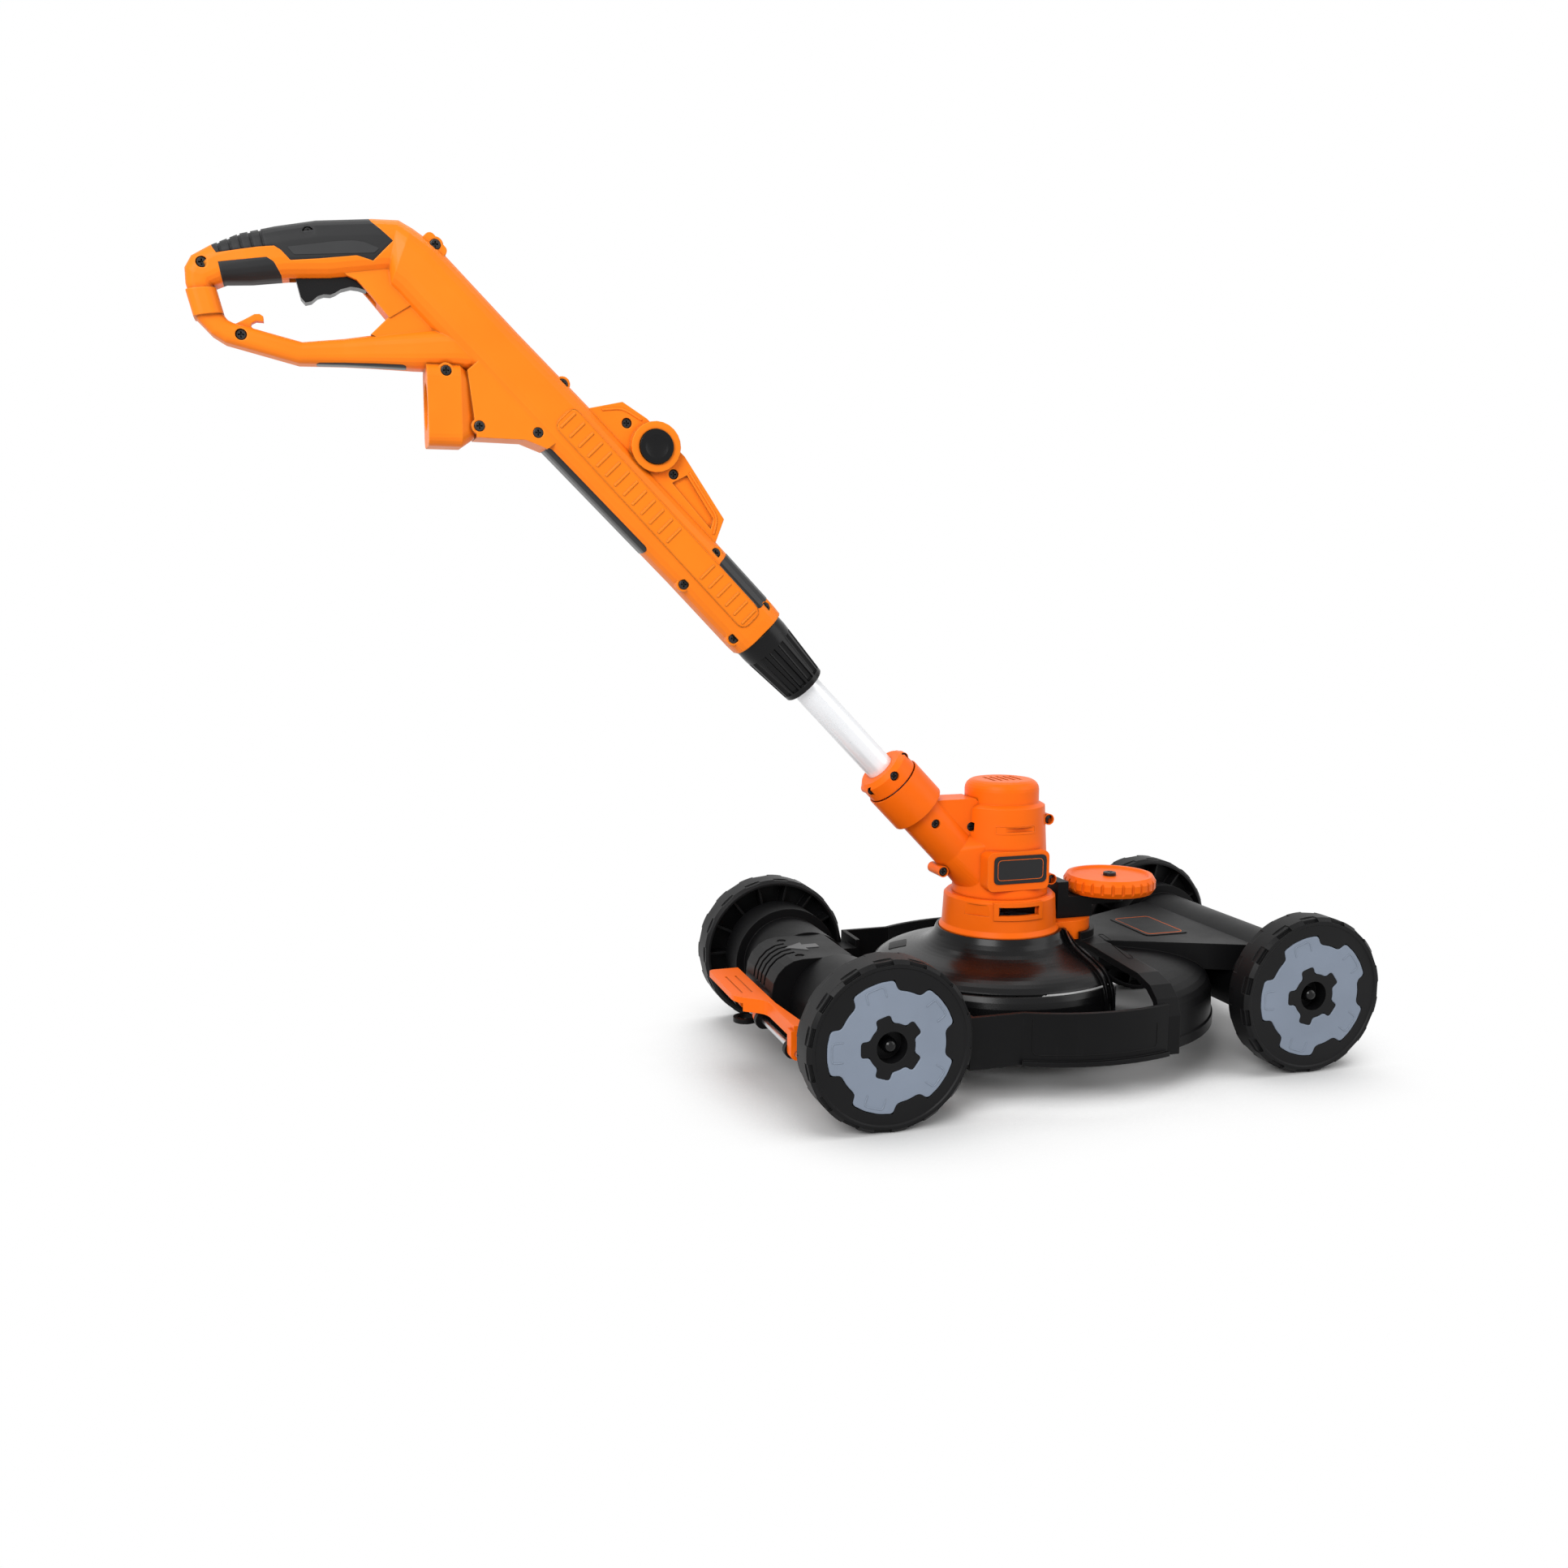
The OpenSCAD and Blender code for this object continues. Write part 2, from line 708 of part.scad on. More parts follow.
module wheel_cover(w)
    color(grey) translate([0, 0, w - face_dip - cover_t]) linear_extrude(cover_t) cover_outline(0);

module rear_axle()
    color(steel) translate([rear_axle_x, 0, axle_z]) rod_y(axle_d, axle_inset - rear_track / 2, rear_track / 2 - axle_inset);

module front_axle()
    color(steel) translate([front_axle_x, 0, axle_z])
        rod_y(axle_d, axle_inset - front_track / 2, front_track / 2 - axle_inset);

module axle_cap(w)
    translate([0, 0, w - well_h + axle_cap_gap]) difference() {
        union() {
            cylinder(d = axle_cap_d, h = axle_cap_d / 2);
            translate([0, 0, axle_cap_d / 2]) sphere(d = axle_cap_d);
        }
        translate([0, 0, -over]) cylinder(d = axle_d, h = well_h - axle_cap_gap - axle_inset + over);
        translate([0, 0, -axle_cap_d]) cylinder(d = 2 * axle_cap_d, h = axle_cap_d);
    }

module axle_caps()
    color(black) for (side = [right, left]) {
        on_wheel(rear_axle_x, rear_track, rear_wheel_w, side) axle_cap(rear_wheel_w);
        on_wheel(front_axle_x, front_track, front_wheel_w, side) axle_cap(front_wheel_w);
    }

// Deck

module rail_profile()
    polygon([
        [rail_r - deck_wall, 0], [rail_r + rail_lip, 0], [rail_r + rail_lip, rail_lip_h],
        [rail_r, rail_lip_h], [rail_r, rail_h], [rail_r - deck_wall, rail_h]
    ]);

// Bulged rail on the left, its straight tail behind the wheel and the arm to the rear bell
module left_rail() {
    translate([rail_x, 0, rail_z]) rotate(rail_front_a) rotate_extrude(angle = rail_span) rail_profile();
    translate([tail_x, tail_y - deck_wall, rail_z]) cube([tail_end_x - tail_x, deck_wall, rail_h]);
    translate([tail_x, rear_bell_y - arm_w, rail_z])
        cube([deck_wall, tail_y - rear_bell_y + arm_w, rail_h]);
    translate([rear_axle_x, rear_bell_y - arm_w, rail_z])
        difference() {
            cube([tail_x - rear_axle_x + deck_wall, arm_w - over, arm_h]);
            translate([0, deck_wall, -over])
                cube([tail_x - rear_axle_x, arm_w - 2 * deck_wall - over, arm_h + over - deck_wall]);
        }
}

// Round housings along an axle on the left, from the middle to the wheel
module left_bell(x, y0, y1, d, bell_w, bell_d)
    translate([x, 0, axle_z]) {
        rod_y(d, y0, y1);
        rod_y(bell_d, y1 - bell_w, y1);
    }
module left_bell_hollow(x, y0, y1, d, bell_w, bell_d)
    translate([x, 0, axle_z]) {
        rod_y(d - 2 * deck_wall, y0 + deck_wall, y1 - deck_wall);
        rod_y(bell_d - 2 * deck_wall, y1 - bell_w + deck_wall, y1 - deck_wall);
        translate([-bell_d / 2, y0 + deck_wall, -bell_d / 2 - over])
            cube([bell_d, y1 - y0 - 2 * deck_wall, bell_d / 2 + over - bell_open_drop]);
    }

// Arch across the deck in front of the guard
module bridge_outline(w, h)
    polygon(concat(
        [for (p = bridge_shares) [p[0] * w, p[1] * h]],
        [for (i = [len(bridge_shares) - 1 : -1 : 0]) [-bridge_shares[i][0] * w, bridge_shares[i][1] * h]]
    ));
module bridge()
    translate([head_x + bridge_back, 0, rail_z]) rotate([90, 0, 90]) linear_extrude(bridge_w) difference() {
        bridge_outline(bridge_half, base_z - rail_z);
        translate([0, -over]) bridge_outline(bridge_half - bridge_t, base_z - rail_z - bridge_t + over);
    }

// Domed front shroud with its skirt
module shroud_solid(r, h, drop, lip)
    rotate(-shroud_sweep / 2) rotate_extrude(angle = shroud_sweep)
        polygon(concat(
            [[0, -drop], [r + lip, -drop], [r + lip, shroud_lip_h - drop - lip], [r, shroud_lip_h - drop]],
            dome(r, h, shroud_round)
        ));
module shroud()
    translate([shroud_x, 0, shroud_z]) intersection() {
        drop = shroud_z - axle_z + shroud_drop;
        difference() {
            shroud_solid(shroud_r, shroud_dome_h, drop + shroud_lip_h, shroud_lip);
            shroud_solid(shroud_r - deck_wall, shroud_dome_h - deck_wall, drop + 2 * shroud_lip_h, 0);
        }
        translate([bridge_back + bridge_w / 2 - shroud_shift, -rail_r, -axle_z - shroud_r])
            cube([2 * rail_r, 2 * rail_r, 2 * rail_r + 2 * axle_z]);
    }

// Flat plateau from the head to the front tube
module plateau_outline(inset)
    polygon([
        [head_x + bridge_back + plateau_back_gap + inset, inset - plateau_back_w / 2],
        [front_axle_x - front_tube_d / 4, inset - plateau_front_w / 2],
        [front_axle_x - front_tube_d / 4, plateau_front_w / 2 - inset],
        [head_x + bridge_back + plateau_back_gap + inset, plateau_back_w / 2 - inset]
    ]);
module plateau()
    translate([0, 0, base_z - plateau_top_drop - plateau_h]) difference() {
        linear_extrude(plateau_h) plateau_outline(0);
        translate([0, 0, -over]) linear_extrude(plateau_h + over - deck_wall) plateau_outline(deck_wall);
    }

// Outline of the head's front lobe, grown by a gap
module lobe_outline(gap) {
    translate([head_x + lobe_reach - lobe_r, 0]) circle(r = lobe_r + gap);
    translate([head_x, -lobe_r - gap]) square([lobe_reach - lobe_r, 2 * (lobe_r + gap)]);
}
module lobe_lip()
    translate([0, 0, base_z - deck_wall]) linear_extrude(deck_wall + lobe_lip_h) intersection() {
        difference() {
            lobe_outline(clear + lobe_lip_t);
            lobe_outline(clear);
        }
        translate([head_x + bridge_back, -rail_r]) square([rail_r, 2 * rail_r]);
    }

module side_lug()
    translate([hinge_x, -side_lug_y, hinge_z]) {
        rod_y(lug_d, 0, lug_t);
        translate([0, 0, -lug_d / 2]) cube([hinge_back - rear_bell_d / 2 + 2 * deck_wall, lug_t, lug_d]);
    }

module deck_shell()
    color(black) difference() {
        union() {
            for (side = [0, 1]) mirror([0, side, 0]) {
                left_rail();
                left_bell(rear_axle_x, step_y, rear_bell_y, rear_step_d, rear_bell_w, rear_bell_d);
                left_bell(front_axle_x, -lap, front_bell_y, front_tube_d, front_bell_w, front_bell_d);
            }
            bridge();
            shroud();
            plateau();
            lobe_lip();
            side_lug();
        }
        for (side = [0, 1]) mirror([0, side, 0]) {
            left_bell_hollow(rear_axle_x, step_y, rear_bell_y, rear_step_d, rear_bell_w, rear_bell_d);
            left_bell_hollow(front_axle_x, -2 * deck_wall, front_bell_y, front_tube_d, front_bell_w, front_bell_d);
        }
        for (x = [rear_axle_x, front_axle_x]) translate([x, 0, axle_z])
            rod_y(axle_d + 2 * fit_gap, -rear_track, rear_track);
        translate([hinge_x, 0, hinge_z]) rod_y(pin_d + 2 * fit_gap, -side_lug_y - over, lug_t + over - side_lug_y);
    }

// Latch housing between the rear bells

function latch_outline() = concat(
    [[latch_front, -latch_bottom], [latch_front, latch_top]],
    corner(latch_round - latch_back, latch_top - latch_round, latch_round, 90),
    corner(latch_foot_round - latch_back, latch_foot_round - latch_bottom, latch_foot_round, 180)
);

module latch_groove(y)
    translate([latch_round - latch_back, y, latch_top - latch_round]) intersection() {
        difference() {
            rod_y(2 * latch_round + over, -groove_w / 2, groove_w / 2);
            rod_y(2 * latch_round - 2 * groove_depth, -groove_w, groove_w);
        }
        translate([-2 * latch_round, -groove_w, 0]) cube([2 * latch_round, 2 * groove_w, 2 * latch_round]);
    }

module latch_lug(y)
    translate([-hinge_back, y, -hinge_drop]) {
        rod_y(lug_d, 0, lug_t);
        translate([0, 0, -lug_d / 2]) cube([hinge_back - latch_back + deck_wall, lug_t, lug_d]);
    }

module latch_eye()
    translate([-eye_back, eye_y, -eye_drop]) {
        cylinder(d = eye_d, h = eye_t);
        translate([0, -eye_d / 4, 0]) cube([eye_back - latch_back + latch_foot_round, eye_d / 2, eye_t]);
    }

module latch_housing()
    color(black) translate([rear_axle_x, 0, axle_z]) difference() {
        union() {
            plate_y(latch_outline(), latch_w);
            for (y = [lug_inset - latch_w / 2, latch_w / 2 - lug_inset - lug_t]) latch_lug(y);
            latch_eye();
            translate([latch_front - lap, -tab_w / 2, -latch_bottom])
                cube([bolt_nose + lap, tab_w, latch_bottom + tab_z - axle_z]);
        }
        translate([deck_wall - latch_back, deck_wall - latch_w / 2, -latch_bottom - over])
            cube([latch_back + latch_front - 2 * deck_wall, latch_w - 2 * deck_wall, latch_bottom + over + axle_d / 2]);
        translate([-bolt_back - bolt_nose - over, -bolt_w / 2 - clear, bolt_rise - clear])
            cube([bolt_back + 3 * bolt_nose + latch_front, bolt_w + 2 * clear, bolt_h + 2 * clear]);
        rod_y(axle_d + 2 * fit_gap, -latch_w, latch_w);
        translate([-hinge_back, 0, -hinge_drop]) rod_y(pin_d + 2 * fit_gap, -latch_w, latch_w);
        translate([-eye_back, eye_y, -eye_drop - over]) cylinder(d = eye_bore_d, h = eye_t + 2 * over);
        for (i = [0 : groove_count - 1]) latch_groove((i - (groove_count - 1) / 2) * groove_pitch);
        latch_screw_places() screw_hole(l = latch_top / 2);
    }

module latch_screw_places()
    for (side = [right, left]) translate([-latch_back / 2, side * latch_w / 3, latch_top - screw_sink])
        rotate([180, 0, 0]) children();

module latch_screws()
    color(black) translate([rear_axle_x, 0, axle_z]) latch_screw_places() screw(l = latch_top / 2);

module latch_bolt()
    color(steel) translate([rear_axle_x - bolt_back, -bolt_w / 2, axle_z + bolt_rise])
        difference() {
            cube([bolt_back + latch_front + bolt_nose, bolt_w, bolt_h]);
            translate([bolt_back + latch_front + bolt_nose, -over, bolt_h / 2]) rotate([0, -45, 0])
                cube([bolt_h, bolt_w + 2 * over, bolt_h]);
        }

module pedal_knuckle(y)
    translate([0, y, 0]) {
        rod_y(knuckle_d, 0, knuckle_l);
        translate([-knuckle_d / 2, 0, 0]) cube([knuckle_d / 2 + paddle_front, knuckle_l, paddle_rise + lap]);
    }

// Plan of the pedal: the paddle behind the latch, narrowing to the strap behind the wheel
function pedal_outline() = concat(
    [[paddle_front, paddle_left]],
    corner(paddle_round - paddle_back, paddle_left - paddle_round, paddle_round, 90),
    [for (i = [0 : 2 * corner_steps]) bezier([
        [-paddle_back, -paddle_right], [-paddle_back, -strap_turn], [-strap_back, -strap_turn], [-strap_back, -strap_start]
    ], i / corner_steps / 2)],
    [[-strap_back, -strap_end], [strap_front, -strap_end], [paddle_front, -strap_start]]
);

module foot_pedal()
    color(orange) translate([hinge_x, 0, hinge_z]) difference() {
        union() {
            translate([0, 0, paddle_rise]) linear_extrude(paddle_t) polygon(pedal_outline());
            translate([0, 0, paddle_rise + paddle_t - strap_h]) linear_extrude(strap_h) intersection() {
                polygon(pedal_outline());
                translate([-paddle_back, -strap_end]) square([2 * paddle_back, strap_end - latch_w / 2 - clear]);
            }
            pedal_knuckle(latch_w / 2 - lug_inset - lug_t - clear - knuckle_l);
            pedal_knuckle(lug_inset + lug_t + clear - latch_w / 2);
            pedal_knuckle(-side_lug_y - clear - knuckle_l);
        }
        rod_y(pin_d + 2 * fit_gap, -rear_track, rear_track);
        for (i = [1 : paddle_grooves]) translate([
            -paddle_back * i / (paddle_grooves + 1), -paddle_right, paddle_rise + paddle_t - paddle_groove_depth
        ]) cube([paddle_groove_w, paddle_left, paddle_t]);
    }

module pedal_pin()
    color(steel) translate([hinge_x, 0, hinge_z]) rod_y(pin_d, -side_lug_y - knuckle_l - lug_t, latch_w / 2 - lug_inset);

module pedal_spring()
    color(steel) translate([hinge_x, -knuckle_l / 2, hinge_z]) rotate([-90, 0, 0])
        coil_spring(pin_d + 3 * spring_wire, 2 * knuckle_l, 6);

// Guard and head

function guard_curve() = concat(
    [for (i = [0 : guard_steps]) bezier(guard_upper_shares, i / guard_steps)],
    [for (i = [1 : guard_steps]) bezier(guard_lower_shares, i / guard_steps)]
);
guard_rim_r = base_flange_d / 2 + guard_rim_gap;
guard_seat_r = guard_rim_r + guard_rim_t;
guard_floor = guard_h - guard_rim_h;
function guard_points(grow) =
    [for (p = guard_curve()) [guard_seat_r + p[0] * (guard_r - guard_seat_r) + grow, p[1] * guard_h + grow]];
function guard_inner() =
    [for (p = guard_curve()) [guard_seat_r + p[0] * (guard_r - guard_seat_r) - guard_t, p[1] * guard_h - guard_t]];
function reversed(list) = [for (i = [len(list) - 1 : -1 : 0]) list[i]];

module guard_body(grow)
    rotate_extrude() polygon(concat(
        [[guard_hole_d / 2, guard_floor], [guard_rim_r, guard_floor], [guard_rim_r, guard_h]],
        guard_points(grow), [[guard_r - guard_t, 0]],
        [for (p = reversed(guard_inner())) [p[0], max(min(p[1], guard_floor - guard_t), 0)]],
        [[guard_hole_d / 2, guard_floor - guard_t]]
    ));

module guard()
    color(black) translate([head_x, 0, guard_z]) difference() {
        union() {
            intersection() {
                guard_body(0);
                translate([-2 * guard_r, -2 * guard_r, 0]) cube([2 * guard_r + guard_lip_x, 4 * guard_r, guard_h]);
            }
            for (x = [guard_lip_x - guard_lip_t, guard_lip_x - 3 * guard_lip_t]) intersection() {
                guard_body(guard_lip_h);
                translate([x, -2 * guard_r, 0]) cube([guard_lip_t, 4 * guard_r, guard_h]);
            }
            translate([latch_front - head_offset + clear, -tab_w / 2, tab_z - guard_z])
                cube([head_offset - latch_front - clear - guard_r + 2 * guard_t, tab_w, tab_t]);
        }
        cylinder(r = guard_r - 2 * guard_t, h = guard_h / 2);
        translate([-head_x, 0, guard_floor]) linear_extrude(guard_h) lobe_outline(clear);
        translate([0, 0, guard_floor]) cylinder(r = guard_rim_r, h = guard_h);
    }

module line_blade()
    color(steel) translate([head_x + guard_lip_x + blade_gap, -blade_out, spool_z + line_rise - blade_h / 2])
        cube([blade_t, blade_out - blade_in, blade_h]);

module head_base_solid()
    rotate_extrude() polygon([
        [0, 0], [base_flange_d / 2, 0], [base_flange_d / 2, base_foot_h], [base_belt_d / 2, base_flange_h],
        [base_d / 2, base_h - base_chamfer], [base_d / 2 - base_chamfer, base_h], [0, base_h]
    ]);

module vent_frame(grow, depth0, depth1)
    translate([depth0, -vent_w / 2 - grow, vent_rise - grow]) cube([depth1 - depth0, vent_w + 2 * grow, vent_h + 2 * grow]);

module head_base()
    color(orange) difference() {
        union() {
            translate([head_x, 0, base_z]) {
                head_base_solid();
                for (a = vent_angles) rotate(a) intersection() {
                    vent_frame(vent_frame, 0, base_d);
                    cylinder(d = base_d + 2 * vent_proud, h = base_h);
                }
            }
            translate([0, 0, base_z]) linear_extrude(base_flange_h) lobe_outline(0);
        }
        translate([head_x, 0, base_z]) {
            translate([0, 0, base_floor_t]) cylinder(d = base_d - 2 * head_wall, h = base_h - base_floor_t - head_wall);
            translate([0, 0, base_floor_t]) cylinder(d = motor_foot_d - 2 * head_wall, h = base_h);
            translate([0, 0, -over]) cylinder(d = bearing_d - 2 * head_wall, h = base_h);
            for (a = vent_angles) rotate(a) vent_frame(0, base_d / 2 - 2 * head_wall, base_d);
            for (a = blank_angles) rotate(a) translate([base_d / 2 - blank_depth, -blank_w / 2, vent_rise - over])
                cube([base_d, blank_w, vent_h + 2 * over]);
        }
    }

module lower_bearing()
    color(steel) translate([head_x, 0, base_z + base_floor_t]) ring(bearing_d, motor_shaft_d + 2 * fit_gap, bearing_t);

// Motor housing: outer solid and the space inside it, before it is split into two halves
module motor_solid(inset) {
    r_top = motor_top_d / 2 - inset;
    r_step = motor_step_d / 2 - inset;
    r_foot = motor_foot_d / 2 - inset;
    h = motor_h - inset;
    rotate_extrude() polygon(concat(
        [[0, inset > 0 ? -over : 0], [r_foot, inset > 0 ? -over : 0], [r_step, motor_h - motor_step_h]],
        [[r_top, motor_h - motor_step_h + head_wall]],
        corner(r_top - motor_round, h - motor_round, motor_round, 0), [[0, h]]
    ));
}

module badge_pad()
    translate([-badge_shift, -badge_proud, badge_z]) rotate([-90, 0, 0]) linear_extrude(badge_proud)
        polygon(rounded(badge_w, badge_h, badge_round));

module neck_bosses()
    for (p = neck_screw_shares) on_shaft(p[0] * neck_l) translate([p[1] * neck_l, 0, 0])
        rod_y(lug_boss_d, -p[3] * neck_d, p[3] * neck_d);

// Fill between the neck and the motor
module neck_blend()
    hull() {
        on_shaft(blend_share * neck_l) cylinder(d = neck_d - lap, h = plate_t);
        translate([head_x, 0, motor_z + lap]) cylinder(d = blend_d, h = blend_h);
    }

module motor_housing()
    difference() {
        union() {
            translate([head_x, 0, motor_z]) {
                motor_solid(0);
                badge_pad();
            }
            intersection() {
                on_shaft() cylinder(d = neck_d, h = neck_l);
                translate([0, -neck_d, motor_z]) cube([head_x, 2 * neck_d, motor_h + neck_l]);
            }
            intersection() {
                on_shaft(neck_l / 2) translate([0, -web_w / 2, 0]) cube([neck_d, web_w, neck_l / 2 - clear]);
                translate([0, -neck_d, motor_z]) cube([head_x, 2 * neck_d, motor_h - web_drop]);
            }
            neck_blend($fn = blend_fn);
            neck_bosses();
            motor_screw_places() cylinder(d = lug_boss_d, h = 2 * motor_screw_y);
        }
        difference() {
            translate([head_x, 0, motor_z]) motor_solid(head_wall);
            translate([head_x, 0, motor_top_z - upper_bearing_t - 2 * head_wall - motor_round])
                cylinder(d = upper_bearing_d + 2 * head_wall, h = motor_h);
        }
        translate([head_x, 0, motor_top_z - 2 * head_wall - upper_bearing_t])
            cylinder(d = upper_bearing_d + 2 * fit_gap, h = upper_bearing_t);
        translate([head_x, 0, motor_z]) cylinder(d = motor_shaft_d + 2 * clear, h = motor_h - head_wall - head_wall / 2);
        on_shaft(socket_start) cylinder(d = tube_d + 2 * fit_gap, h = neck_l);
        for (i = [0 : top_slots - 1])
            translate([
                head_x + (i - (top_slots - 1) / 2) * top_slot_pitch - top_slot_w / 2, -top_slot_l / 2,
                motor_top_z - top_slot_depth / 4
            ]) cube([top_slot_w, top_slot_l, top_slot_depth]);
        translate([head_x - mark_slot_w / 2, -motor_foot_d, motor_z + mark_slot_z])
            cube([mark_slot_w, motor_foot_d - motor_step_d / 2 + mark_slot_depth, mark_slot_h]);
        neck_screws(true);
    }

// Screws of the head, or their holes, driven in from the right
module neck_screws(hole) {
    for (p = neck_screw_shares) on_shaft(p[0] * neck_l)
        translate([p[1] * neck_l, screw_sink - p[3] * neck_d, 0]) rotate([-90, 0, 0]) screw_or_hole(hole, p[2] * screw_l);
    motor_screw_places() translate([0, 0, screw_sink]) screw_or_hole(hole, motor_screw_l);
}

module motor_screw_places()
    for (p = motor_screw_shares) translate([head_x + p[0] * motor_foot_d, -motor_screw_y, motor_z + p[1] * motor_h])
        rotate([-90, 0, 0]) children();

module motor_housing_right()
    color(orange) intersection() {
        motor_housing();
        translate([head_x, 0, motor_z]) side_half(right, 2 * neck_l);
    }

module motor_housing_left()
    color(orange) intersection() {
        motor_housing();
        translate([head_x, 0, motor_z]) side_half(left, 2 * neck_l);
    }

module head_screws()
    color(black) neck_screws(false);

module upper_bearing()
    color(steel) translate([head_x, 0, motor_top_z - 2 * head_wall - upper_bearing_t])
        ring(upper_bearing_d, motor_shaft_d + 2 * fit_gap, upper_bearing_t);

module motor_stator()
    color(grey) translate([head_x, 0, motor_top_z - motor_step_h - stator_h + 2 * head_wall])
        ring(motor_top_d - 2 * head_wall - 2 * stator_gap, stator_bore_d, stator_h);

module armature()
    color(steel) translate([head_x, 0, spool_z + spool_house_t]) {
        shaft_h = motor_top_z - 2 * head_wall - spool_z - spool_house_t;
        rotor_z = motor_top_z - motor_step_h - stator_h + 2 * head_wall + rotor_rise - spool_z - spool_house_t;
        cylinder(d = motor_shaft_d, h = shaft_h);
        translate([0, 0, rotor_z]) cylinder(d = rotor_d, h = rotor_h);
        translate([0, 0, rotor_z + rotor_h]) cylinder(d = commutator_d, h = commutator_h);
    }

module cooling_fan()
    color(grey) translate([head_x, 0, base_z + base_floor_t + bearing_t + clear]) difference() {
        union() {
            cylinder(d = fan_hub_d, h = fan_h);
            cylinder(d = fan_d, h = fan_disc_t);
            for (i = [0 : fan_blades - 1]) rotate(i * 360 / fan_blades) translate([fan_hub_d / 2 - lap, -fan_blade_t / 2, 0])
                cube([fan_d / 2 - fan_hub_d / 2 - lap, fan_blade_t, fan_h]);
        }
        translate([0, 0, -over]) cylinder(d = motor_shaft_d + 2 * fit_gap, h = fan_h + 2 * over);
    }

module spool_housing()
    color(black) translate([head_x, 0, spool_z]) difference() {
        cylinder(d = spool_house_d, h = spool_house_h);
        translate([0, 0, -over]) cylinder(d = spool_house_d - 2 * spool_house_t, h = spool_house_h + over - spool_house_t);
        cylinder(d = motor_shaft_d + 2 * fit_gap, h = spool_house_h + over);
        rotate(line_angle) translate([0, 0, line_rise]) rotate([0, 90, 0]) cylinder(d = line_hole_d, h = spool_house_d);
    }

module spool()
    color(soft_black) translate([head_x, 0, spool_z + spool_house_t]) difference() {
        union() {
            spool_h = spool_house_h - 2 * spool_house_t - clear;
            cylinder(d = spool_core_d, h = spool_h);
            for (z = [0, (spool_h - spool_flange_t) / 2, spool_h - spool_flange_t]) translate([0, 0, z])
                cylinder(d = spool_house_d - 2 * spool_house_t - 2 * over, h = spool_flange_t);
        }
        translate([0, 0, -over]) cylinder(d = motor_shaft_d + 2 * fit_gap, h = spool_house_h);
    }

module spool_cap()
    color(black) translate([head_x, 0, spool_z - spool_cap_h]) {
        cylinder(d = spool_house_d, h = spool_cap_h);
        cylinder(d = spool_house_d - 2 * spool_house_t - 2 * clear, h = spool_cap_h + spool_house_t);
        for (i = [0 : spool_cap_ribs - 1]) rotate(i * 360 / spool_cap_ribs)
            translate([spool_house_d / 2 - lap, -spool_rib_w / 2, 0]) cube([spool_rib_h + lap, spool_rib_w, spool_cap_h]);
    }

module cutting_line()
    color(orange) translate([head_x, 0, spool_z + line_rise]) rotate(line_angle) rotate([0, 90, 0])
        translate([0, 0, spool_core_d / 2 + clear]) cylinder(d = line_d, h = line_reach - spool_core_d / 2 - clear);

// Edge-guide wheel on its bracket

module edge_bracket()
    color(black) difference() {
        union() {
            translate([head_x + bracket_start, -bracket_w / 2, lobe_z]) cube([bracket_post_l, bracket_w, bracket_post_h]);
            translate([head_x + bracket_start, -bracket_w / 2, lobe_z])
                cube([lobe_reach - bracket_start - over, bracket_w, arm_z - lobe_z + bracket_arm_t]);
            translate([head_x + bracket_start, -bracket_w / 2, arm_z])
                cube([edge_reach - bracket_start, bracket_w, bracket_arm_t]);
            translate([edge_x, 0, arm_z]) cylinder(d = bracket_w, h = bracket_arm_t);
        }
        translate([edge_x, 0, 0]) cylinder(d = edge_pin_d, h = motor_z);
    }

module edge_wheel()
    color(orange) translate([edge_x, 0, edge_z]) difference() {
        r = edge_wheel_d / 2;
        rotate_extrude() polygon([
            [0, 0], [r - edge_rim_w / 2, 0], [r, edge_low_share * edge_wheel_w], [r, edge_high_share * edge_wheel_w], [r - edge_rim_w / 2, edge_wheel_w],
            [r - edge_rim_w, edge_wheel_w], [r - edge_rim_w - edge_dish, edge_wheel_w - edge_dish], [0, edge_wheel_w - edge_dish]
        ]);
        translate([0, 0, -over]) cylinder(d = edge_pin_d + 2 * fit_gap, h = edge_wheel_w + 2 * over);
        for (i = [0 : edge_rib_count - 1]) rotate(i * 360 / edge_rib_count)
            translate([r, 0, -over]) cylinder(r = edge_rib_depth, h = edge_wheel_w + 2 * over);
    }

module edge_wheel_screw()
    color(black) translate([edge_x, 0, arm_z]) {
        cylinder(d = edge_pin_d, h = edge_z - arm_z + edge_wheel_w);
        translate([0, 0, edge_z - arm_z + edge_wheel_w - edge_dish + edge_gap])
            cylinder(d = edge_head_d, h = edge_head_h);
    }

// Shaft

module shaft_tube()
    color("#e9ebee") on_shaft(socket_start) ring(tube_d, tube_d - 2 * tube_wall, tube_l);

module swivel_places()
    for (p = swivel_screw_shares) on_shaft(swivel_cap_s + swivel_screw_s_share * swivel_cap_l)
        translate([p[0] * swivel_cap_d, screw_sink - p[1] * swivel_cap_d, 0]) rotate([-90, 0, 0]) children();

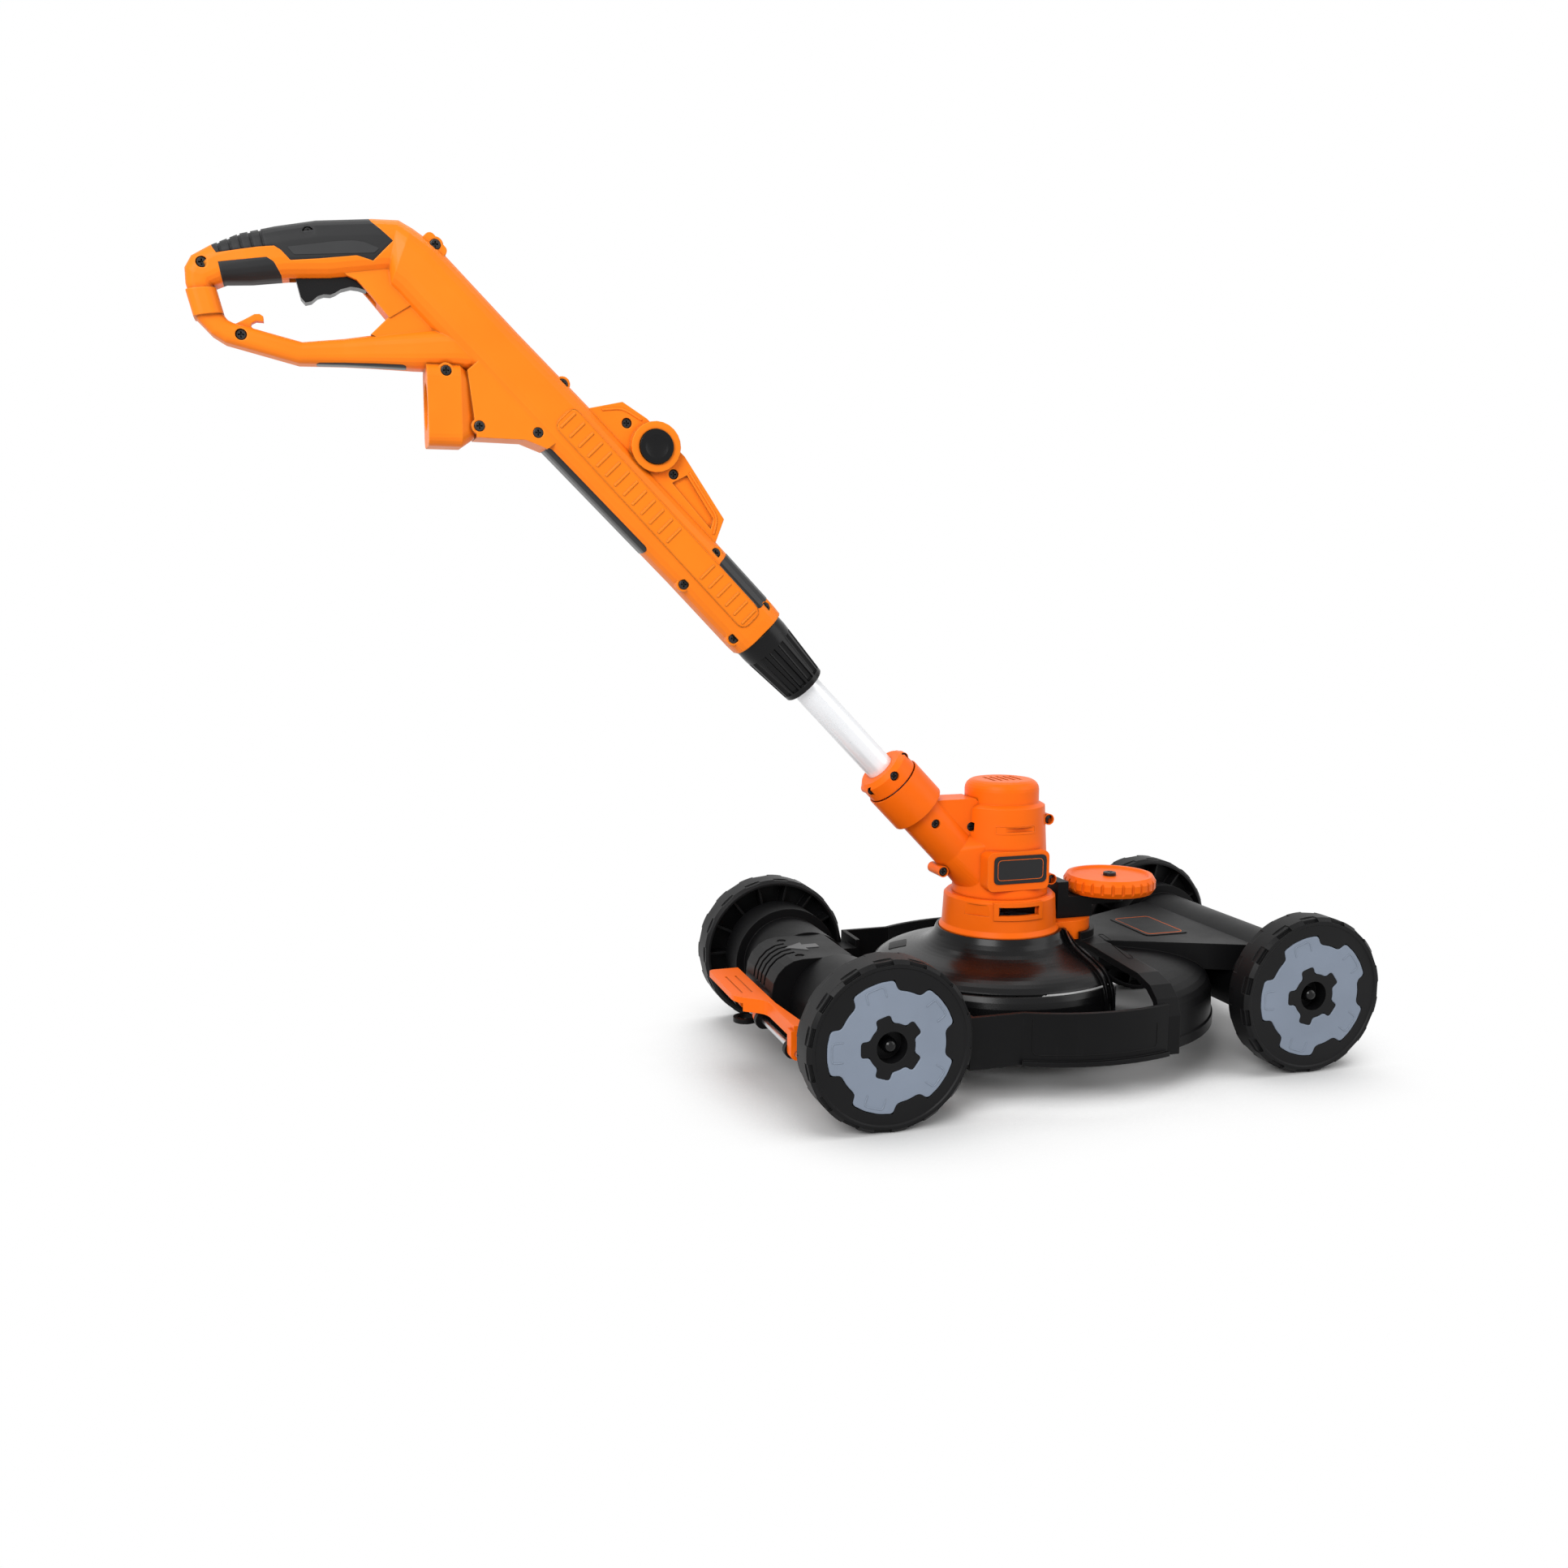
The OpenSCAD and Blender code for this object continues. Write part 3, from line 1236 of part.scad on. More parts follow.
swivel_screw_l = (swivel_cap_d - tube_d) / 2 - 3 * screw_sink;
module swivel_cap()
    color(orange) difference() {
        union() {
            on_shaft(swivel_cap_s) rotate_extrude() polygon([
                [tube_d / 2, 0], [swivel_cap_d / 2, 0], [swivel_cap_d / 2, swivel_cap_l - swivel_chamfer],
                [swivel_cap_d / 2 - swivel_chamfer, swivel_cap_l], [tube_d / 2, swivel_cap_l]
            ]);
            for (p = swivel_screw_shares) if (p[0] != 0) on_shaft(swivel_cap_s + swivel_screw_s_share * swivel_cap_l)
                translate([p[0] * swivel_cap_d, 0, 0])
                    rod_y(swivel_boss_d, -p[1] * swivel_cap_d, p[1] * swivel_cap_d);
        }
        swivel_places() screw_hole(l = swivel_screw_l, top = 3 * screw_sink);
    }

module swivel_screws()
    color(black) swivel_places() screw(l = swivel_screw_l);

module swivel_sleeve()
    color(orange) on_shaft(sleeve_s) difference() {
        cylinder(d = sleeve_d, h = sleeve_l);
        translate([0, 0, -over]) cylinder(d = tube_d + 2 * clear, h = sleeve_l);
        translate([0, 0, sleeve_floor]) cylinder(d = swivel_cap_d + 2 * clear, h = sleeve_l);
    }

module swivel_spring()
    color(steel) on_shaft(sleeve_s + sleeve_floor) coil_spring(swivel_cap_d - 2 * sleeve_lip, sleeve_l - sleeve_floor + cap_gap - clear, 5);

module lock_collar()
    color(black) on_shaft(collar_s) difference() {
        rotate_extrude() polygon([
            [tube_d / 2 + clear, 0], [collar_end_d / 2, 0], [collar_end_d / 2 + over, over],
            [collar_d / 2, collar_l - collar_band], [collar_d / 2, collar_l], [nose_d / 2 + clear, collar_l],
            [nose_d / 2 + clear, collar_l - nose_l - clear], [tube_d / 2 + clear, collar_l - nose_l - collar_band - bush_flange_t]
        ]);
        flute_lean = atan((collar_d - collar_end_d) / 2 / (collar_l - collar_band));
        for (i = [0 : collar_flutes - 1]) rotate(i * 360 / collar_flutes)
            translate([collar_end_d / 2 + flute_d / 2 - flute_depth, 0, collar_band / 2]) rotate([0, flute_lean, 0])
                cylinder(d = flute_d, h = collar_l - 2 * collar_band);
    }

module clamp_bush()
    color(soft_black) on_shaft(handle_s - nose_l) difference() {
        union() {
            cylinder(d = bush_d, h = bush_l);
            translate([0, 0, -bush_flange_t]) cylinder(d = bush_flange_d, h = bush_flange_t);
        }
        translate([0, 0, -bush_flange_t - over]) cylinder(d = tube_d + 2 * bush_grip_gap, h = bush_l + bush_flange_t + 2 * over);
        for (i = [0 : bush_slots - 1]) rotate(i * 360 / bush_slots) translate([0, -bush_slot_w / 2, -bush_flange_t - over])
            cube([bush_d, bush_slot_w, bush_l / 2]);
    }

// Handle

// One rounded section of the handle, across its path
module section(row, unit, depth, width) {
    d = row[2] * depth;
    w = row[3] * width;
    translate([row[1] * unit, 0, row[0] * unit]) rotate([0, -row[4], 0]) translate([0, 0, -plate_t / 2])
        linear_extrude(plate_t) polygon(rounded(d, w, round_share * min(d, w)));
}

// Loft through a list of sections, each grown by an amount
module loft(rows, unit, depth, width, first = 0, last = 100)
    for (i = [first : min(last, len(rows) - 1) - 1]) hull() {
        section(rows[i], unit, depth, width);
        section(rows[i + 1], unit, depth, width);
    }

module handle_loft(grow, first = 0, last = 100)
    on_grip() loft(loop_shares, grip_l, grip_h + grow, grip_w + grow, first, last);

module barrel_loft(grow) {
    on_shaft(handle_s) loft(barrel_shares, barrel_l, barrel_h + grow, barrel_w + grow);
    hull() {
        on_shaft(handle_s) section(barrel_shares[len(barrel_shares) - 1], barrel_l, barrel_h + grow, barrel_w + grow);
        on_grip() section(loop_shares[0], grip_l, grip_h + grow, grip_w + grow);
    }
}

// The part of the grip that the soft skins cover
module grip_zone(shares)
    on_grip() plate_y(scaled(shares, grip_l), 2 * grip_w);

module grip_core() {
    barrel_loft(-2 * skin_t);
    handle_loft(-2 * skin_t, 0, grip_rows);
}

module inlet_frame()
    on_shaft(handle_s + inlet_s_share * barrel_l) translate([inlet_t_share * barrel_h, 0, 0])
        rotate([0, inlet_tilt, 0]) children();

module panel_ribs_set()
    for (i = [0 : panel_ribs - 1]) if (len(search(i, panel_gap_ribs)) == 0)
        translate([0, 0, (panel_start_share + (panel_end_share - panel_start_share) * (i + 0.5) / panel_ribs) * barrel_l])
            cube([panel_rib_h, barrel_w + 2 * panel_proud + 2 * panel_rib_proud, panel_rib_w], center = true);

module barrel_panel()
    on_shaft(handle_s) {
        translate([0, 0, (panel_start_share + panel_end_share) / 2 * barrel_l]) rotate([90, 0, 0])
            linear_extrude(barrel_w + 2 * panel_proud, center = true)
                polygon(rounded(panel_h, (panel_end_share - panel_start_share) * barrel_l, panel_h / 3));
        panel_ribs_set();
    }

module fin()
    on_shaft(handle_s) difference() {
        union() {
            plate_y(on_barrel(fin_shares), fin_w);
            translate([hub_t_share * barrel_h, 0, hub_s_share * barrel_l]) rod_y(hub_d, -hub_w / 2, hub_w / 2);
        }
        for (side = [right, left]) translate([0, side * fin_w / 2, 0])
            plate_y(on_barrel(fin_recess_shares), 2 * fin_recess);
    }

module hook()
    on_grip() plate_y(scaled(hook_shares, grip_l), hook_w);

module handle_solid() {
    difference() {
        union() {
            barrel_loft(0);
            handle_loft(0);
        }
        grip_zone(top_grip_shares);
        grip_zone(lower_grip_shares);
    }
    grip_core();
    on_grip() loft(band_shares, grip_l, grip_h, grip_w);
    on_grip() plate_y(scaled(gusset_shares, grip_l), gusset_w);
    on_grip() plate_y(scaled(web_shares, grip_l), web_plate_w);
    on_shaft(handle_s + barrel_lug_shares[0] * barrel_l) translate([barrel_lug_shares[1] * barrel_h, 0, 0])
        plate_y(rounded(barrel_lug_h, barrel_lug_l, barrel_lug_round), barrel_lug_w);
    hook();
    fin();
    barrel_panel();
    on_shaft(handle_s) plate_y(on_barrel(belly_shares), belly_w);
    inlet_frame() rotate([0, 90, 0]) {
        linear_extrude(inlet_l) polygon(rounded(inlet_h, inlet_w, inlet_round));
        hull() {
            linear_extrude(inlet_l) polygon(rounded(inlet_h, inlet_w, inlet_round));
            linear_extrude(inlet_l + inlet_taper_l)
                polygon(rounded(inlet_h - 2 * inlet_taper, inlet_w - 2 * inlet_taper, inlet_round));
        }
    }
    on_shaft(handle_s - nose_l) cylinder(d = nose_d, h = nose_l + lap);
    barrel_screw_places() translate([0, 0, screw_sink]) cylinder(d = boss_d, h = screw_l / 2);
}

// Places of the housing screws, driven in from the right
module barrel_screw_places()
    for (p = barrel_screw_shares) on_shaft(handle_s + p[0] * barrel_l)
        translate([p[1] * barrel_h, screw_sink - p[2] * barrel_w, 0]) rotate([-90, 0, 0]) children();
module grip_screw_places()
    on_grip() for (p = grip_screw_shares)
        translate([p[1] * grip_l, screw_sink - p[2] * grip_w, p[0] * grip_l]) rotate([-90, 0, 0]) children();

module handle_hollows() {
    on_shaft(handle_s - nose_l - over) cylinder(d = bush_d + 2 * clear, h = bush_l + over + clear);
    on_shaft(handle_s) cylinder(d = tube_d + 2 * bore_gap, h = bore_l);
    on_grip() plate_y(scaled(slot_shares, grip_l), trigger_w + 2 * clear);
    on_grip() translate([switch_h_share * grip_l, 0, switch_g_share * grip_l])
        cube([switch_h + 2 * clear, switch_w + 2 * clear, switch_l + 2 * clear], center = true);
    on_grip() translate([trigger_pivot_h_share * grip_l, 0, trigger_pivot_g_share * grip_l])
        rod_y(trigger_pin_d + 2 * clear, -pin_share * grip_w, pin_share * grip_w);
    on_shaft(handle_s + hub_s_share * barrel_l) translate([hub_t_share * barrel_h, 0, 0])
        rod_y(button_d + 2 * clear, -hub_w, 0);
    inlet_frame() rotate([0, 90, 0]) translate([0, 0, -over]) cylinder(d = inlet_well_d, h = inlet_well_h + over);
    barrel_screw_places() screw_hole($fn = shell_fn);
    grip_screw_places() screw_hole($fn = shell_fn);
}

module handle_half(side)
    color(orange) difference() {
        intersection() {
            handle_solid($fn = shell_fn);
            on_shaft(handle_s + barrel_l / 2) side_half(side, barrel_l + grip_l);
        }
        handle_hollows($fn = 2 * shell_fn);
    }

module handle_housing_right()
    handle_half(right);

module handle_housing_left()
    handle_half(left);

module top_grip()
    color(soft_black) difference() {
        intersection() {
            union() {
                barrel_loft(0);
                handle_loft(0, 0, grip_rows);
            }
            grip_zone(top_grip_shares);
        }
        grip_core();
        grip_screw_places($fn = shell_fn) screw_hole();
        difference() {
            on_grip() for (g = grip_groove_shares) translate([0, -grip_w, g * grip_l]) cube([grip_l, 2 * grip_w, grip_groove_w]);
            handle_loft(-2 * grip_groove_depth, 3, grip_rows);
        }
    }

module lower_grip()
    color(soft_black) difference() {
        intersection() {
            handle_loft(0, 2, grip_rows);
            grip_zone(lower_grip_shares);
        }
        grip_core();
        on_grip() plate_y(scaled(slot_shares, grip_l), trigger_w + 2 * clear);
    }

module handle_screws()
    color(black) {
        barrel_screw_places() screw();
        grip_screw_places() screw();
    }

module trigger()
    color(black) on_grip() difference() {
        plate_y(scaled(trigger_shares, grip_l), trigger_w);
        translate([trigger_pivot_h_share * grip_l, 0, trigger_pivot_g_share * grip_l])
            rod_y(trigger_pin_d + 2 * fit_gap, -trigger_w, trigger_w);
    }

module trigger_pin()
    color(steel) on_grip() translate([trigger_pivot_h_share * grip_l, 0, trigger_pivot_g_share * grip_l])
        rod_y(trigger_pin_d, clear - pin_share * grip_w, pin_share * grip_w - clear);

module trigger_spring()
    color(steel) on_grip() translate([trigger_spring_shares[1] * grip_l, 0, trigger_spring_shares[0] * grip_l])
        rotate([0, 90, 0]) coil_spring(plunger_d, trigger_spring_shares[2] * grip_l, 4);

module switch_block()
    color(soft_black) on_grip() translate([switch_h_share * grip_l, 0, switch_g_share * grip_l]) {
        cube([switch_h, switch_w, switch_l], center = true);
        translate([-switch_h / 2 - clear, 0, 0]) rotate([0, 90, 0]) cylinder(d = plunger_d, h = switch_h / 2);
    }

module inlet_socket()
    color(black) inlet_frame() rotate([0, 90, 0]) translate([0, 0, inlet_well_h - inlet_socket_l]) difference() {
        cylinder(d = inlet_socket_d, h = inlet_socket_l);
        for (side = [right, left]) translate([-blade_pin_w / 2, side * blade_pin_pitch / 2 - blade_pin_t / 2, -over])
            cube([blade_pin_w, blade_pin_t, blade_pin_l]);
    }

module inlet_blades()
    color(steel) inlet_frame() rotate([0, 90, 0]) translate([0, 0, inlet_well_h - inlet_socket_l])
        for (side = [right, left]) translate([-blade_pin_w / 2, side * blade_pin_pitch / 2 - blade_pin_t / 2, -over])
            cube([blade_pin_w, blade_pin_t, blade_pin_l]);

module release_button()
    color(black) on_shaft(handle_s + hub_s_share * barrel_l)
        translate([hub_t_share * barrel_h, -hub_w / 2 - button_proud, 0]) difference() {
            rod_y(button_d, 0, button_l);
            translate([0, button_dish - button_dish_d / 2, 0]) sphere(d = button_dish_d);
        }

module button_spring()
    color(steel) on_shaft(handle_s + hub_s_share * barrel_l)
        translate([hub_t_share * barrel_h, button_l - hub_w / 2 - button_proud, 0]) rotate([-90, 0, 0])
            coil_spring(button_d / 2, hub_w / 2 + button_proud - button_l, 3);

deck_shell();
latch_housing();
latch_screws();
rear_axle();
front_axle();
axle_caps();
on_wheel(rear_axle_x, rear_track, rear_wheel_w, right) wheel(rear_wheel_w);  // rear_right_wheel
on_wheel(rear_axle_x, rear_track, rear_wheel_w, left) wheel(rear_wheel_w);  // rear_left_wheel
on_wheel(front_axle_x, front_track, front_wheel_w, right) wheel(front_wheel_w);  // front_right_wheel
on_wheel(front_axle_x, front_track, front_wheel_w, left) wheel(front_wheel_w);  // front_left_wheel
on_wheel(rear_axle_x, rear_track, rear_wheel_w, right) wheel_cover(rear_wheel_w);  // rear_right_cover
on_wheel(rear_axle_x, rear_track, rear_wheel_w, left) wheel_cover(rear_wheel_w);  // rear_left_cover
on_wheel(front_axle_x, front_track, front_wheel_w, right) wheel_cover(front_wheel_w);  // front_right_cover
on_wheel(front_axle_x, front_track, front_wheel_w, left) wheel_cover(front_wheel_w);  // front_left_cover
foot_pedal();
pedal_pin();
pedal_spring();
latch_bolt();
guard();
line_blade();
head_base();
motor_housing_right();
motor_housing_left();
head_screws();
motor_stator();
upper_bearing();
lower_bearing();
armature();
cooling_fan();
spool_housing();
spool();
spool_cap();
cutting_line();
edge_bracket();
edge_wheel();
edge_wheel_screw();
shaft_tube();
swivel_cap();
swivel_screws();
swivel_sleeve();
swivel_spring();
lock_collar();
clamp_bush();
handle_housing_right();
handle_housing_left();
top_grip();
lower_grip();
handle_screws();
trigger();
trigger_pin();
trigger_spring();
switch_block();
inlet_socket();
inlet_blades();
release_button();
button_spring();
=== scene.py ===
"""Dressed model of a string trimmer latched into a four-wheeled mowing deck."""
import json
import math

import bmesh
import bpy
from mathutils import Matrix, Vector
from mathutils.bvhtree import BVHTree


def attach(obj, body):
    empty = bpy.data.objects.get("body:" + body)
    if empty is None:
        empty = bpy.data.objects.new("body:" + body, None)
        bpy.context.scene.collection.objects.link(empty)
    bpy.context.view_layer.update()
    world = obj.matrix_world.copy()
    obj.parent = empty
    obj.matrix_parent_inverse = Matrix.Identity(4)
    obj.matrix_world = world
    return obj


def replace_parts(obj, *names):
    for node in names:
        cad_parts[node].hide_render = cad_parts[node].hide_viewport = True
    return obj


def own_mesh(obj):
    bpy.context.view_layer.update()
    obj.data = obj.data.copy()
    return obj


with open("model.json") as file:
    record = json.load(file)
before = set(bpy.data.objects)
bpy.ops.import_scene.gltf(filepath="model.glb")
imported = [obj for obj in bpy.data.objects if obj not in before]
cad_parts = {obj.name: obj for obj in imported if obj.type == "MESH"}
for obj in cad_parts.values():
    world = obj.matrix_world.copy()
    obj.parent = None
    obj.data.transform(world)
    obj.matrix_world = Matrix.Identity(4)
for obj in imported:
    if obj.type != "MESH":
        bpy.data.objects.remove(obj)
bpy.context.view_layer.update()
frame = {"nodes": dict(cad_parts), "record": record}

MM = 0.001

# Sizes of the part in millimetres, as its source has them
REAR_AXLE_X = 10
FRONT_AXLE_X = 415
AXLE_Z = 70
HEAD_X = 182
SHAFT_Z = 142
SHAFT_ANGLE = math.radians(46.3)
GRIP_BEND = math.radians(59)
HANDLE_S = 337
BARREL_L = 403
GRIP_DROP = 7.5

# Frames of the shaft and the grip: x across, y to the left, z along
SHAFT = (
    Matrix.Translation(Vector((HEAD_X, 0, SHAFT_Z)) * MM)
    @ Matrix.Rotation(SHAFT_ANGLE - math.pi / 2, 4, "Y")
)
GRIP = (
    SHAFT
    @ Matrix.Translation(Vector((-GRIP_DROP, 0, HANDLE_S + BARREL_L)) * MM)
    @ Matrix.Rotation(-GRIP_BEND, 4, "Y")
)


# Node groups shared by the finishes


def group_with(name, inputs, outputs):
    """Empty shader group with named sockets, and its input and output nodes."""
    group = bpy.data.node_groups.new(name, "ShaderNodeTree")
    for label, kind, value in inputs:
        socket = group.interface.new_socket(label, in_out="INPUT", socket_type=kind)
        socket.default_value = value
    for label, kind in outputs:
        group.interface.new_socket(label, in_out="OUTPUT", socket_type=kind)
    start = group.nodes.new("NodeGroupInput")
    end = group.nodes.new("NodeGroupOutput")
    return group, start, end


def add(tree, kind, **values):
    node = tree.nodes.new(kind)
    for key, value in values.items():
        setattr(node, key, value)
    return node


def noise(tree, coords, scale, detail):
    node = add(tree, "ShaderNodeTexNoise")
    tree.links.new(coords, node.inputs["Vector"])
    if isinstance(scale, (int, float)):
        node.inputs["Scale"].default_value = scale
    else:
        tree.links.new(scale, node.inputs["Scale"])
    node.inputs["Detail"].default_value = detail
    return node.outputs["Fac"]


def ranged(tree, value, low, high, to_low, to_high):
    node = add(tree, "ShaderNodeMapRange")
    tree.links.new(value, node.inputs["Value"])
    for label, setting in (("From Min", low), ("From Max", high), ("To Min", to_low), ("To Max", to_high)):
        if isinstance(setting, (int, float)):
            node.inputs[label].default_value = setting
        else:
            tree.links.new(setting, node.inputs[label])
    return node.outputs["Result"]


def maths(tree, operation, a, b):
    node = add(tree, "ShaderNodeMath", operation=operation)
    for slot, value in enumerate((a, b)):
        if isinstance(value, (int, float)):
            node.inputs[slot].default_value = value
        else:
            tree.links.new(value, node.inputs[slot])
    return node.outputs[0]


def make_moulded_grain():
    """Spark-eroded mould grain, with a slow drift of colour and gloss over the moulding."""
    tree, start, end = group_with(
        "moulded_grain",
        [
            ("Colour", "NodeSocketColor", (0.5, 0.5, 0.5, 1)),
            ("Drift", "NodeSocketFloat", 0.1),
            ("Grain scale", "NodeSocketFloat", 1800.0),
            ("Gloss low", "NodeSocketFloat", 0.35),
            ("Gloss high", "NodeSocketFloat", 0.45),
        ],
        [("Colour", "NodeSocketColor"), ("Roughness", "NodeSocketFloat"), ("Height", "NodeSocketFloat")],
    )
    coords = add(tree, "ShaderNodeTexCoord").outputs["Object"]
    slow = noise(tree, coords, 22.0, 3.0)
    fine = noise(tree, coords, start.outputs["Grain scale"], 2.0)
    low = maths(tree, "SUBTRACT", 1.0, start.outputs["Drift"])
    high = maths(tree, "ADD", 1.0, start.outputs["Drift"])
    level = ranged(tree, slow, 0.3, 0.7, low, high)
    tint = add(tree, "ShaderNodeVectorMath", operation="SCALE")
    tree.links.new(start.outputs["Colour"], tint.inputs[0])
    tree.links.new(level, tint.inputs["Scale"])
    tree.links.new(tint.outputs[0], end.inputs["Colour"])
    mix = maths(tree, "ADD", maths(tree, "MULTIPLY", slow, 0.6), maths(tree, "MULTIPLY", fine, 0.4))
    gloss = ranged(tree, mix, 0.35, 0.65, start.outputs["Gloss low"], start.outputs["Gloss high"])
    tree.links.new(gloss, end.inputs["Roughness"])
    tree.links.new(fine, end.inputs["Height"])
    return tree


def make_fine_scuffs():
    """Faint hairline scuffs, as a mask of bright streaks."""
    tree, start, end = group_with(
        "fine_scuffs",
        [("Stretch", "NodeSocketVector", (60.0, 900.0, 60.0)), ("Share", "NodeSocketFloat", 0.35)],
        [("Mask", "NodeSocketFloat")],
    )
    coords = add(tree, "ShaderNodeTexCoord").outputs["Object"]
    stretch = add(tree, "ShaderNodeVectorMath", operation="MULTIPLY")
    tree.links.new(coords, stretch.inputs[0])
    tree.links.new(start.outputs["Stretch"], stretch.inputs[1])
    streaks = noise(tree, stretch.outputs[0], 1.0, 4.0)
    patches = noise(tree, coords, 14.0, 2.0)
    lines = ranged(tree, streaks, 0.58, 0.72, 0.0, 1.0)
    kept = ranged(tree, patches, 0.45, 0.65, 0.0, start.outputs["Share"])
    tree.links.new(maths(tree, "MULTIPLY", lines, kept), end.inputs["Mask"])
    return tree


def make_soft_edges():
    """Rounded moulding edges: their normal, and a mask of where they lie."""
    tree, start, end = group_with(
        "soft_edges",
        [("Radius", "NodeSocketFloat", 0.0006)],
        [("Normal", "NodeSocketVector"), ("Edge", "NodeSocketFloat")],
    )
    edge = add(tree, "ShaderNodeBevel", samples=6)
    tree.links.new(start.outputs["Radius"], edge.inputs["Radius"])
    tree.links.new(edge.outputs["Normal"], end.inputs["Normal"])
    turn = add(tree, "ShaderNodeVectorMath", operation="DOT_PRODUCT")
    tree.links.new(edge.outputs["Normal"], turn.inputs[0])
    tree.links.new(add(tree, "ShaderNodeNewGeometry").outputs["Normal"], turn.inputs[1])
    tree.links.new(ranged(tree, turn.outputs["Value"], 0.99, 0.80, 0.0, 1.0), end.inputs["Edge"])
    return tree


def make_crease_shade():
    """Painted shade: colour that darkens where surfaces meet in a crease, by an ambient-occlusion mask."""
    tree, start, end = group_with(
        "crease_shade",
        [("Colour", "NodeSocketColor", (0.5, 0.5, 0.5, 1)), ("Depth", "NodeSocketFloat", 0.5)],
        [("Colour", "NodeSocketColor")],
    )
    crease = add(tree, "ShaderNodeAmbientOcclusion", samples=6)
    crease.inputs["Distance"].default_value = 0.004
    level = ranged(tree, crease.outputs["AO"], 0.35, 0.9, maths(tree, "SUBTRACT", 1.0, start.outputs["Depth"]), 1.0)
    tint = add(tree, "ShaderNodeVectorMath", operation="SCALE")
    tree.links.new(start.outputs["Colour"], tint.inputs[0])
    tree.links.new(level, tint.inputs["Scale"])
    tree.links.new(tint.outputs[0], end.inputs["Colour"])
    return tree


def make_dotted_rows():
    """Rows of small raised dots, as a height."""
    tree, start, end = group_with(
        "dotted_rows", [("Pitch scale", "NodeSocketFloat", 700.0)], [("Height", "NodeSocketFloat")]
    )
    cells = add(tree, "ShaderNodeTexVoronoi")
    cells.inputs["Randomness"].default_value = 0.0
    tree.links.new(add(tree, "ShaderNodeTexCoord").outputs["Object"], cells.inputs["Vector"])
    tree.links.new(start.outputs["Pitch scale"], cells.inputs["Scale"])
    tree.links.new(ranged(tree, cells.outputs["Distance"], 0.15, 0.5, 1.0, 0.0), end.inputs["Height"])
    return tree


moulded_grain = make_moulded_grain()
fine_scuffs = make_fine_scuffs()
soft_edges = make_soft_edges()
crease_shade = make_crease_shade()
dotted_rows = make_dotted_rows()
BUMP_STRENGTH = 0.5


def mixed(tree, factor, first, second):
    """Colour that turns to a second one where the factor is high."""
    node = add(tree, "ShaderNodeMix", data_type="RGBA")
    tree.links.new(factor, node.inputs["Factor"])
    tree.links.new(first, node.inputs["A"])
    node.inputs["B"].default_value = second
    return node.outputs["Result"]


def bumped(tree, height, normal, depth):
    """Normal with a height laid on it."""
    node = add(tree, "ShaderNodeBump")
    node.inputs["Strength"].default_value = BUMP_STRENGTH
    node.inputs["Distance"].default_value = depth
    tree.links.new(height, node.inputs["Height"])
    tree.links.new(normal, node.inputs["Normal"])
    return node.outputs["Normal"]


def finish_of(name, colour, gloss, drift=0.06, grain=1800.0, depth=0.00004, metallic=0.0, specular=0.5,
              edge=0.0006, edge_highlight_colour=None, scuffs=0.0, scuff_colour=(0.6, 0.6, 0.6, 1), dots=0.0, crease=0.0):
    """One finish: Principled shader in the material, grain, edges, scuffs, painted edge highlight and painted
    crease shade from the shared groups.
    """
    material = bpy.data.materials.new(name)
    material.use_nodes = True
    tree = material.node_tree
    tree.nodes.clear()
    output = add(tree, "ShaderNodeOutputMaterial")
    shader = add(tree, "ShaderNodeBsdfPrincipled")
    shader.inputs["Metallic"].default_value = metallic
    shader.inputs["Specular IOR Level"].default_value = specular
    tree.links.new(shader.outputs[0], output.inputs["Surface"])
    grain_node = add(tree, "ShaderNodeGroup", node_tree=moulded_grain)
    grain_node.inputs["Colour"].default_value = colour
    grain_node.inputs["Drift"].default_value = drift
    grain_node.inputs["Grain scale"].default_value = grain
    grain_node.inputs["Gloss low"].default_value = gloss[0]
    grain_node.inputs["Gloss high"].default_value = gloss[1]
    edges = add(tree, "ShaderNodeGroup", node_tree=soft_edges)
    edges.inputs["Radius"].default_value = edge
    tint = grain_node.outputs["Colour"]
    # Painted highlight: the colour turns lighter along moulding edges, by the edge mask.
    if edge_highlight_colour:
        tint = mixed(tree, edges.outputs["Edge"], tint, edge_highlight_colour)
    if scuffs:
        rub = add(tree, "ShaderNodeGroup", node_tree=fine_scuffs)
        rub.inputs["Share"].default_value = scuffs
        tint = mixed(tree, rub.outputs["Mask"], tint, scuff_colour)
    # Painted shade: the colour darkens in creases, by an ambient-occlusion mask.
    if crease:
        shade = add(tree, "ShaderNodeGroup", node_tree=crease_shade)
        shade.inputs["Depth"].default_value = crease
        tree.links.new(tint, shade.inputs["Colour"])
        tint = shade.outputs["Colour"]
    tree.links.new(tint, shader.inputs["Base Color"])
    tree.links.new(grain_node.outputs["Roughness"], shader.inputs["Roughness"])
    normal = bumped(tree, grain_node.outputs["Height"], edges.outputs["Normal"], depth)
    if dots:
        rows = add(tree, "ShaderNodeGroup", node_tree=dotted_rows)
        normal = bumped(tree, rows.outputs["Height"], normal, dots)
    tree.links.new(normal, shader.inputs["Normal"])
    return material


